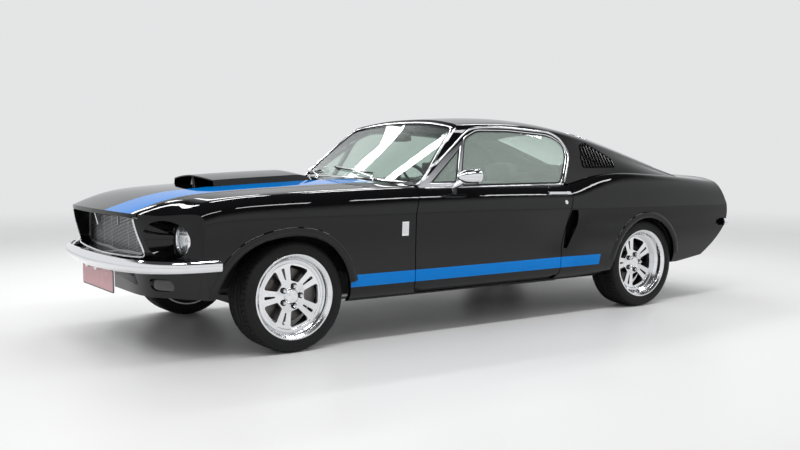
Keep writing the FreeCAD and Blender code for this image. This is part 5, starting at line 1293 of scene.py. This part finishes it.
def in_louvre_slot(roof, spot):
    """Whether a face of the roof panel lies down in a slot between the slats."""
    first, last = LOUVRES["x"]
    if not last - LOUVRE_REACH < spot.x < first + LOUVRE_REACH:
        return False
    if not LOUVRES["low"] < spot.z < louvre_top(spot.x):
        return False
    side = 1 if spot.y > 0 else -1
    return 0.5 < abs(spot.y) < abs(louvre_skin(roof, spot.x, spot.z, side)) - LOUVRE_SLOT_DEPTH


def louvre_skin(panel, x, z, side):
    """How far out the quarter panel's skin stands at a spot, slots apart."""
    outs = []
    for dx in (-0.016, -0.008, 0.0, 0.008, 0.016):
        hit, _ = from_side(panel, x + dx, z, side)
        if hit:
            outs.append(abs(hit.y))
    return max(outs, default=0.70) * side


EXHAUST_TIP_SPOT = (-2.062, 0.300, 0.194)
EXHAUST_TIP = [(0.0262, 0.060), (0.0275, 0.058), (0.0285, -0.030), (0.0290, -0.034), (0.0275, -0.036),
               (0.0255, -0.032), (0.0248, 0.040)]


def make_exhaust_tips():
    """Bright rolled tips on the tailpipes."""
    for name, side in SIDES.items():
        tip = facing_forward(lathe(EXHAUST_TIP, 40), side, EXHAUST_TIP_SPOT)
        make_piece(f"exhaust_tip_{name}", *tip, "chrome", "root", "chrome")


BADGE = {"x": (0.759, 0.805), "z": (0.603, 0.684), "ribs": 9}


def make_badge_places():
    """A small plain ribbed rectangle on each fender, behind the wheel."""
    for name, side in SIDES.items():
        fender = tree_of([f"fender_{name}"])
        (x0, x1), (z0, z1), ribs = BADGE["x"], BADGE["z"], BADGE["ribs"]
        verts = []
        across, up = 4 * ribs, 12
        for i in range(across + 1):
            for k in range(up + 1):
                x, z = x0 + (x1 - x0) * i / across, z0 + (z1 - z0) * k / up
                hit, normal = from_side(fender, x, z, side)
                edge = 0.0 if i in (0, across) or k in (0, up) else 1.0
                rise = edge * (0.0022 + 0.0007 * math.cos(2 * math.pi * i / 4))
                verts.append(hit + normal * (rise + 0.0001))
        make_piece(f"badge_place_{name}", verts, sheet(across, up), "alloy", "root", "chrome")


MIRROR_SPOT = (0.268, 0.904, 0.934)
MIRROR_GLASS = [(0.0, 0.0012), (0.030, 0.0010), (0.0375, 0.0006), (0.0385, 0.0)]
MIRROR_RIM = [(0.0400, -0.010), (0.0432, -0.008), (0.0448, 0.000), (0.0442, 0.008), (0.0405, 0.0135),
              (0.0370, 0.0120), (0.0378, 0.0020)]


def facing_back(part, spot, side=1):
    """A part turned about Y, stood to face the rear of the car at a place."""
    return placed(part, (spot[0], spot[1] * side, spot[2]), 90)


def make_mirror_glasses():
    """The round glasses of the door mirrors, facing rearwards."""
    disc = lathe(MIRROR_GLASS, 48, closed=False)
    rim = lathe(MIRROR_RIM, 64)
    for name, side in SIDES.items():
        body = f"door_{name}"
        make_piece(f"mirror_glass_{name}", *facing_back(disc, MIRROR_SPOT, side), "reflector", body, "chrome")
        make_piece(f"mirror_rim_{name}", *facing_back(rim, MIRROR_SPOT, side), "chrome", body, "chrome")


LUGS = {"count": 5, "first_degrees": 36, "circle": 0.05715, "face": {"front": 0.062, "rear": 0.028}}


# A dark ring round each lug nut, painted shade of the recess it sits in
LUG_SHADE_RING = [(0.0108, 0.0008), (0.0160, 0.0008), (0.0166, 0.0), (0.0108, 0.0)]
LUG_NUT = [(0.0, 0.0185), (0.0060, 0.0180), (0.0092, 0.0150), (0.0112, 0.0120), (0.0112, 0.0)]
HUB_RING = [(0.0345, 0.0008), (0.0385, 0.0008), (0.0390, 0.0), (0.0345, 0.0)]


def make_wheel_details():
    """Dark rings round the nuts, which paint the shade of their recesses, bright six-sided nuts for the
    wheels, and a dark ring round each hub.
    """
    seat, nut, ring = lathe(LUG_SHADE_RING, 28), lathe(LUG_NUT, 6, closed=False), lathe(HUB_RING, 48)
    for axle, axle_x in AXLE_X.items():
        for name, side in SIDES.items():
            turn = 0 if side > 0 else 180
            centre = Vector((axle_x, (WHEEL_Y + LUGS["face"][axle]) * side, AXLE_Z))
            seats, nuts = [], []
            for i in range(LUGS["count"]):
                angle = math.radians(LUGS["first_degrees"] + 360 / LUGS["count"] * i)
                spot = centre + Vector((math.cos(angle), 0, math.sin(angle))) * LUGS["circle"]
                seats.append(placed(seat, spot, turn))
                nuts.append(placed(nut, spot, turn))
            seats.append(placed(ring, centre, turn))
            body = f"wheel_{axle}_{name}"
            # Dark rings round the nuts, painted shade of their recesses, and the dark hub ring.
            make_piece(f"lug_seats_{axle}_{name}", *joined(seats), "dark", body, "trim_plastic")
            make_piece(f"lug_nuts_{axle}_{name}", *joined(nuts), "chrome", body, "chrome", smooth=False)


TAIL_LAMP_Y = (0.300, 0.392, 0.484)
TAIL_LAMP_HALF = 0.034
TAIL_LAMP_Z = (0.639, 0.801)
FUEL_CAP_Z = 0.715
FUEL_CAP = [(0.0, 0.016), (0.030, 0.0155), (0.048, 0.013), (0.054, 0.008), (0.0555, 0.0), (0.064, -0.001),
            (0.066, -0.006)]


def make_tail_details():
    """Bright bezels round the tail lamps, and a plain round fuel cap."""
    tail = tree_of(["tail_panel", "tail_lamps"])
    low, high = TAIL_LAMP_Z
    for name, side in SIDES.items():
        for number, y in enumerate(TAIL_LAMP_Y):
            left, right = y - TAIL_LAMP_HALF, y + TAIL_LAMP_HALF
            corners = [(left, low), (right, low), (right, high), (left, high)]
            line = []
            for (a, b), (c, d) in zip(corners, corners[1:] + corners[:1]):
                for s in range(10):
                    hit, _ = from_end(tail, (a + (c - a) * s / 10) * side, b + (d - b) * s / 10, -1)
                    line.append(hit + Vector((-0.0005, 0, 0)))
            outs = [Vector((-1, 0, 0.1))] * len(line)
            trim_strip(f"tail_bezel_{name}_{number}", line, outs, 0.009, 0.005, "chrome")
    hit, _ = from_end(tail, 0, FUEL_CAP_Z, -1)
    cap = facing_back(lathe(FUEL_CAP, 64, closed=False), hit + Vector((-0.001, 0, 0)))
    make_piece("fuel_cap", *cap, "chrome", "root", "chrome")


# Cabin

SEAT_X = -0.060
SEAT_Y = 0.372


PINCH = 0.12


def cushion_mesh(size, crown, channels=0):
    """A crowned cushion about the origin: sides pulled in between its corners, with sewn channels on top."""
    verts, faces = [], []
    nx, ny, nz = 40, 40, 10

    def drawn_in(a, b):
        return 1 - PINCH * 0.35 * (1 - abs(a) ** 2) * (abs(b) ** 6) - PINCH * 0.1

    def spot(u, v, w):
        x = size[0] / 2 * squircle(u, v) * drawn_in(u, v)
        y = size[1] / 2 * squircle(v, u) * drawn_in(v, u)
        dome = (1 - u ** 4) * (1 - v ** 4)
        z = w * (size[2] / 2) * (0.72 + 0.28 * dome) + (crown * dome if w > 0 else 0.0) * abs(w)
        if channels and w > 0.6 and abs(u) < 0.93 and abs(v) < 0.80:
            t = v * channels / 2
            z -= 0.012 * math.exp(-(abs(t - round(t)) / 0.10) ** 2) * w
        return Vector((x, y, z))
    index = {}

    def put(i, j, k):
        key = (i, j, k)
        if key not in index:
            index[key] = len(verts)
            verts.append(spot(2 * i / nx - 1, 2 * j / ny - 1, 2 * k / nz - 1))
        return index[key]
    for i in range(nx):
        for j in range(ny):
            for k in (0, nz):
                faces.append((put(i, j, k), put(i + 1, j, k), put(i + 1, j + 1, k), put(i, j + 1, k)))
    for i in range(nx):
        for k in range(nz):
            for j in (0, ny):
                faces.append((put(i, j, k), put(i + 1, j, k), put(i + 1, j, k + 1), put(i, j, k + 1)))
    for j in range(ny):
        for k in range(nz):
            for i in (0, nx):
                faces.append((put(i, j, k), put(i, j + 1, k), put(i, j + 1, k + 1), put(i, j, k + 1)))
    return verts, faces


def squircle(a, b):
    """Rounds a square's corners: a drawn in where b is far out."""
    return a * math.sqrt(1 - 0.22 * b * b)


def stand(part, spot, lean):
    """A part leaned back about Y and moved to its place."""
    return placed(part, spot, lean, "Y")


# Each pad: its size, crown and channels, its X from its seat's, its height, and how far it leans back
FRONT_PADS = {"cushion": ((0.50, 0.465, 0.115), 0.020, 6, 0.005, 0.372, -3),
              "back": ((0.50, 0.465, 0.100), 0.020, 6, -0.235, 0.635, -81),
              "headrest": ((0.140, 0.255, 0.085), 0.012, 0, -0.318, 0.935, -81)}
REAR_PADS = {"cushion": ((0.44, 1.130, 0.120), 0.015, 10, -0.740, 0.400, -8),
             "back": ((0.34, 1.130, 0.080), 0.015, 10, -1.010, 0.640, -70)}
SEAT_BASE = {"half_x": 0.20, "half_y": 0.17, "z": (0.2503, 0.312)}


def make_pad(name, pad, seat_x, y):
    """A grained leather pad, with as many sewn channels as its row gives."""
    size, crown, channels, ahead, height, lean = pad
    shape = stand(cushion_mesh(size, crown, channels), (seat_x + ahead, y, height), lean)
    return make_piece(name, *shape, "leather", "root", "seat_leather")


def make_seats():
    """Two padded bucket seats and the rear bench, in grained leather with sewn channels."""
    half_x, half_y, (low, high) = SEAT_BASE.values()
    for name, side in SIDES.items():
        y = SEAT_Y * side
        for part, pad in FRONT_PADS.items():
            piece = make_pad(f"seat_{part}_{name}", pad, SEAT_X, y)
            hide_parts("seats")
        base = block((SEAT_X - half_x, y - half_y, low), (SEAT_X + half_x, y + half_y, high))
        piece = make_piece(f"seat_base_{name}", *base, "satin", "root", "trim_plastic", smooth=False)
        add_modifier(piece, "BEVEL", width=0.012, segments=3)
        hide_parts("seats")
    for part, pad in REAR_PADS.items():
        piece = make_pad(f"rear_seat_{part}", pad, 0.0, 0)
        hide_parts("seats")


DIALS = {"y": (0.300, 0.444), "x": 0.3815, "z": 0.812, "radius": 0.046, "ticks": 11, "first_degrees": -135,
         "step_degrees": 27, "needle_degrees": -120}


def make_dash_details():
    """Two round dials with bright bezels, plain ticks and needles."""
    radius = DIALS["radius"]
    bezel = lathe([(radius, 0.0), (radius, 0.006), (radius - 0.003, 0.008), (radius - 0.006, 0.004),
                   (radius - 0.006, 0.0)], 48)
    face = lathe([(0.0, 0.001), (radius - 0.005, 0.001), (radius - 0.005, 0.0)], 48, closed=False)
    tick = block((-0.0006, 0.0012, radius * 0.70), (0.0006, 0.0016, radius * 0.84))
    needle = block((-0.0007, 0.0016, -radius * 0.15), (0.0007, 0.0024, radius * 0.66))
    marks = [placed(tick, (0, 0, 0), DIALS["first_degrees"] + DIALS["step_degrees"] * k, "Y")
             for k in range(DIALS["ticks"])]
    marks = joined(marks + [placed(needle, (0, 0, 0), DIALS["needle_degrees"], "Y")])
    for number, y in enumerate(DIALS["y"]):
        spot = (DIALS["x"], y, DIALS["z"])
        make_piece(f"dial_bezel_{number}", *facing_back(bezel, spot), "chrome", "root", "chrome")
        for stem, shape, key in (("face", face, "dark"), ("marks", marks, "mark")):
            make_piece(f"dial_{stem}_{number}", *facing_back(shape, spot), key, "root", "trim_plastic",
                       smooth=False)


KNOB = [(0.0, 0.021), (0.012, 0.017), (0.020, 0.004), (0.019, -0.008), (0.010, -0.018)]
KNOB_SPOT = (0.210, 0, 0.615)
INNER_MIRROR = {"size": (0.030, 0.215, 0.055), "crown": 0.002, "spot": (0.190, 0, 1.172), "lean": 8}
VISOR = {"size": (0.150, 0.400, 0.018), "crown": 0.003, "spot": (0.085, 0.270, 1.222), "lean": -14}


def make_cabin_details():
    """The rear-view mirror, the sun visors and the shift knob."""
    mirror, visor = INNER_MIRROR, VISOR
    shape = stand(cushion_mesh(mirror["size"], mirror["crown"]), mirror["spot"], mirror["lean"])
    make_piece("inner_mirror", *shape, "satin", "root", "trim_plastic")
    x, y, z = visor["spot"]
    for name, side in SIDES.items():
        shape = stand(cushion_mesh(visor["size"], visor["crown"]), (x, y * side, z), visor["lean"])
        make_piece(f"sun_visor_{name}", *shape, "headliner", "root", "seat_leather")
    knob = placed(lathe(KNOB, 32, closed=False), KNOB_SPOT, 90, "X")
    make_piece("shift_knob", *knob, "wheel_leather", "root", "trim_plastic")


LAMP_BACK_LEAST = 0.3
BRAKE_DISC_R = 0.1515
BRAKE_DISC_BACK = 0.0262
DOOR_CARD_Y = 0.760
# Where the carpet lies: across the cabin, along its floor, and up the firewall ahead of it
CARPET = {"half": 0.72, "floor_x": (-0.90, 1.05), "floor_top": 0.62, "wall_x": (0.60, 1.06), "wall_top": 0.84,
          "facing": 0.3}


def is_lining(c, n):
    """Whether a face of the roof panel looks down or inwards, into the cabin."""
    inwards = n.y * c.y < -0.2 * abs(c.y)
    return n.z < -0.25 or (inwards and abs(n.z) < 0.9)


def is_carpet(c, n):
    """Whether a face of the floor pan is the cabin's floor, or the firewall below the dashboard."""
    if abs(c.y) >= CARPET["half"]:
        return False
    (floor_back, floor_front), (wall_back, wall_front) = CARPET["floor_x"], CARPET["wall_x"]
    on_floor = n.z > CARPET["facing"] and floor_back < c.x < floor_front and c.z < CARPET["floor_top"]
    on_wall = n.x < -CARPET["facing"] and wall_back < c.x < wall_front and c.z < CARPET["wall_top"]
    return on_floor or on_wall


def dress_inside():
    """Linings: the headliner, the door cards, the carpet, the brake parts and the tail lamps' backs."""
    dress_faces("roof_panel", "headliner", is_lining)
    dress_faces("floor_pan", "carpet", is_carpet)
    dress_faces("tail_lamps", "dark", lambda c, n: n.x > LAMP_BACK_LEAST)
    for name, side in SIDES.items():
        dress_faces(f"door_{name}", "vinyl", lambda c, n: abs(c.y) < DOOR_CARD_Y and n.y * c.y < 0)
        for axle in AXLE_X:
            centre = Vector((AXLE_X[axle], WHEEL_Y * side, AXLE_Z))
            face_y = RIM_HALF - DISH[axle] - BRAKE_DISC_BACK

            def is_disc(c, n):
                away = c - centre
                return away.y * side < face_y and math.hypot(away.x, away.z) < BRAKE_DISC_R
            dress_faces(f"rim_{axle}_{name}", "brake", is_disc)


def main():
    make_camera()
    make_floor()
    make_light()
    for name, key in NODE_MATERIAL.items():
        dress_node(name, key)
    dress_inside()
    for axle in AXLE_X:
        for side in SIDES:
            make_tyre(axle, side)
    make_screen_trims()
    make_window_trims()
    make_mouth()
    make_headlamps()
    make_plate()
    make_valance_lamps()
    make_wipers()
    make_cowl_vents()
    make_hood_scoop()
    make_hood_release()
    make_arch_lips()
    make_louvre_ribs()
    make_exhaust_tips()
    make_badge_places()
    make_mirror_glasses()
    make_tail_details()
    make_wheel_details()
    make_seats()
    make_dash_details()
    make_cabin_details()


main()
bpy.context.scene.view_settings.view_transform = "Standard"
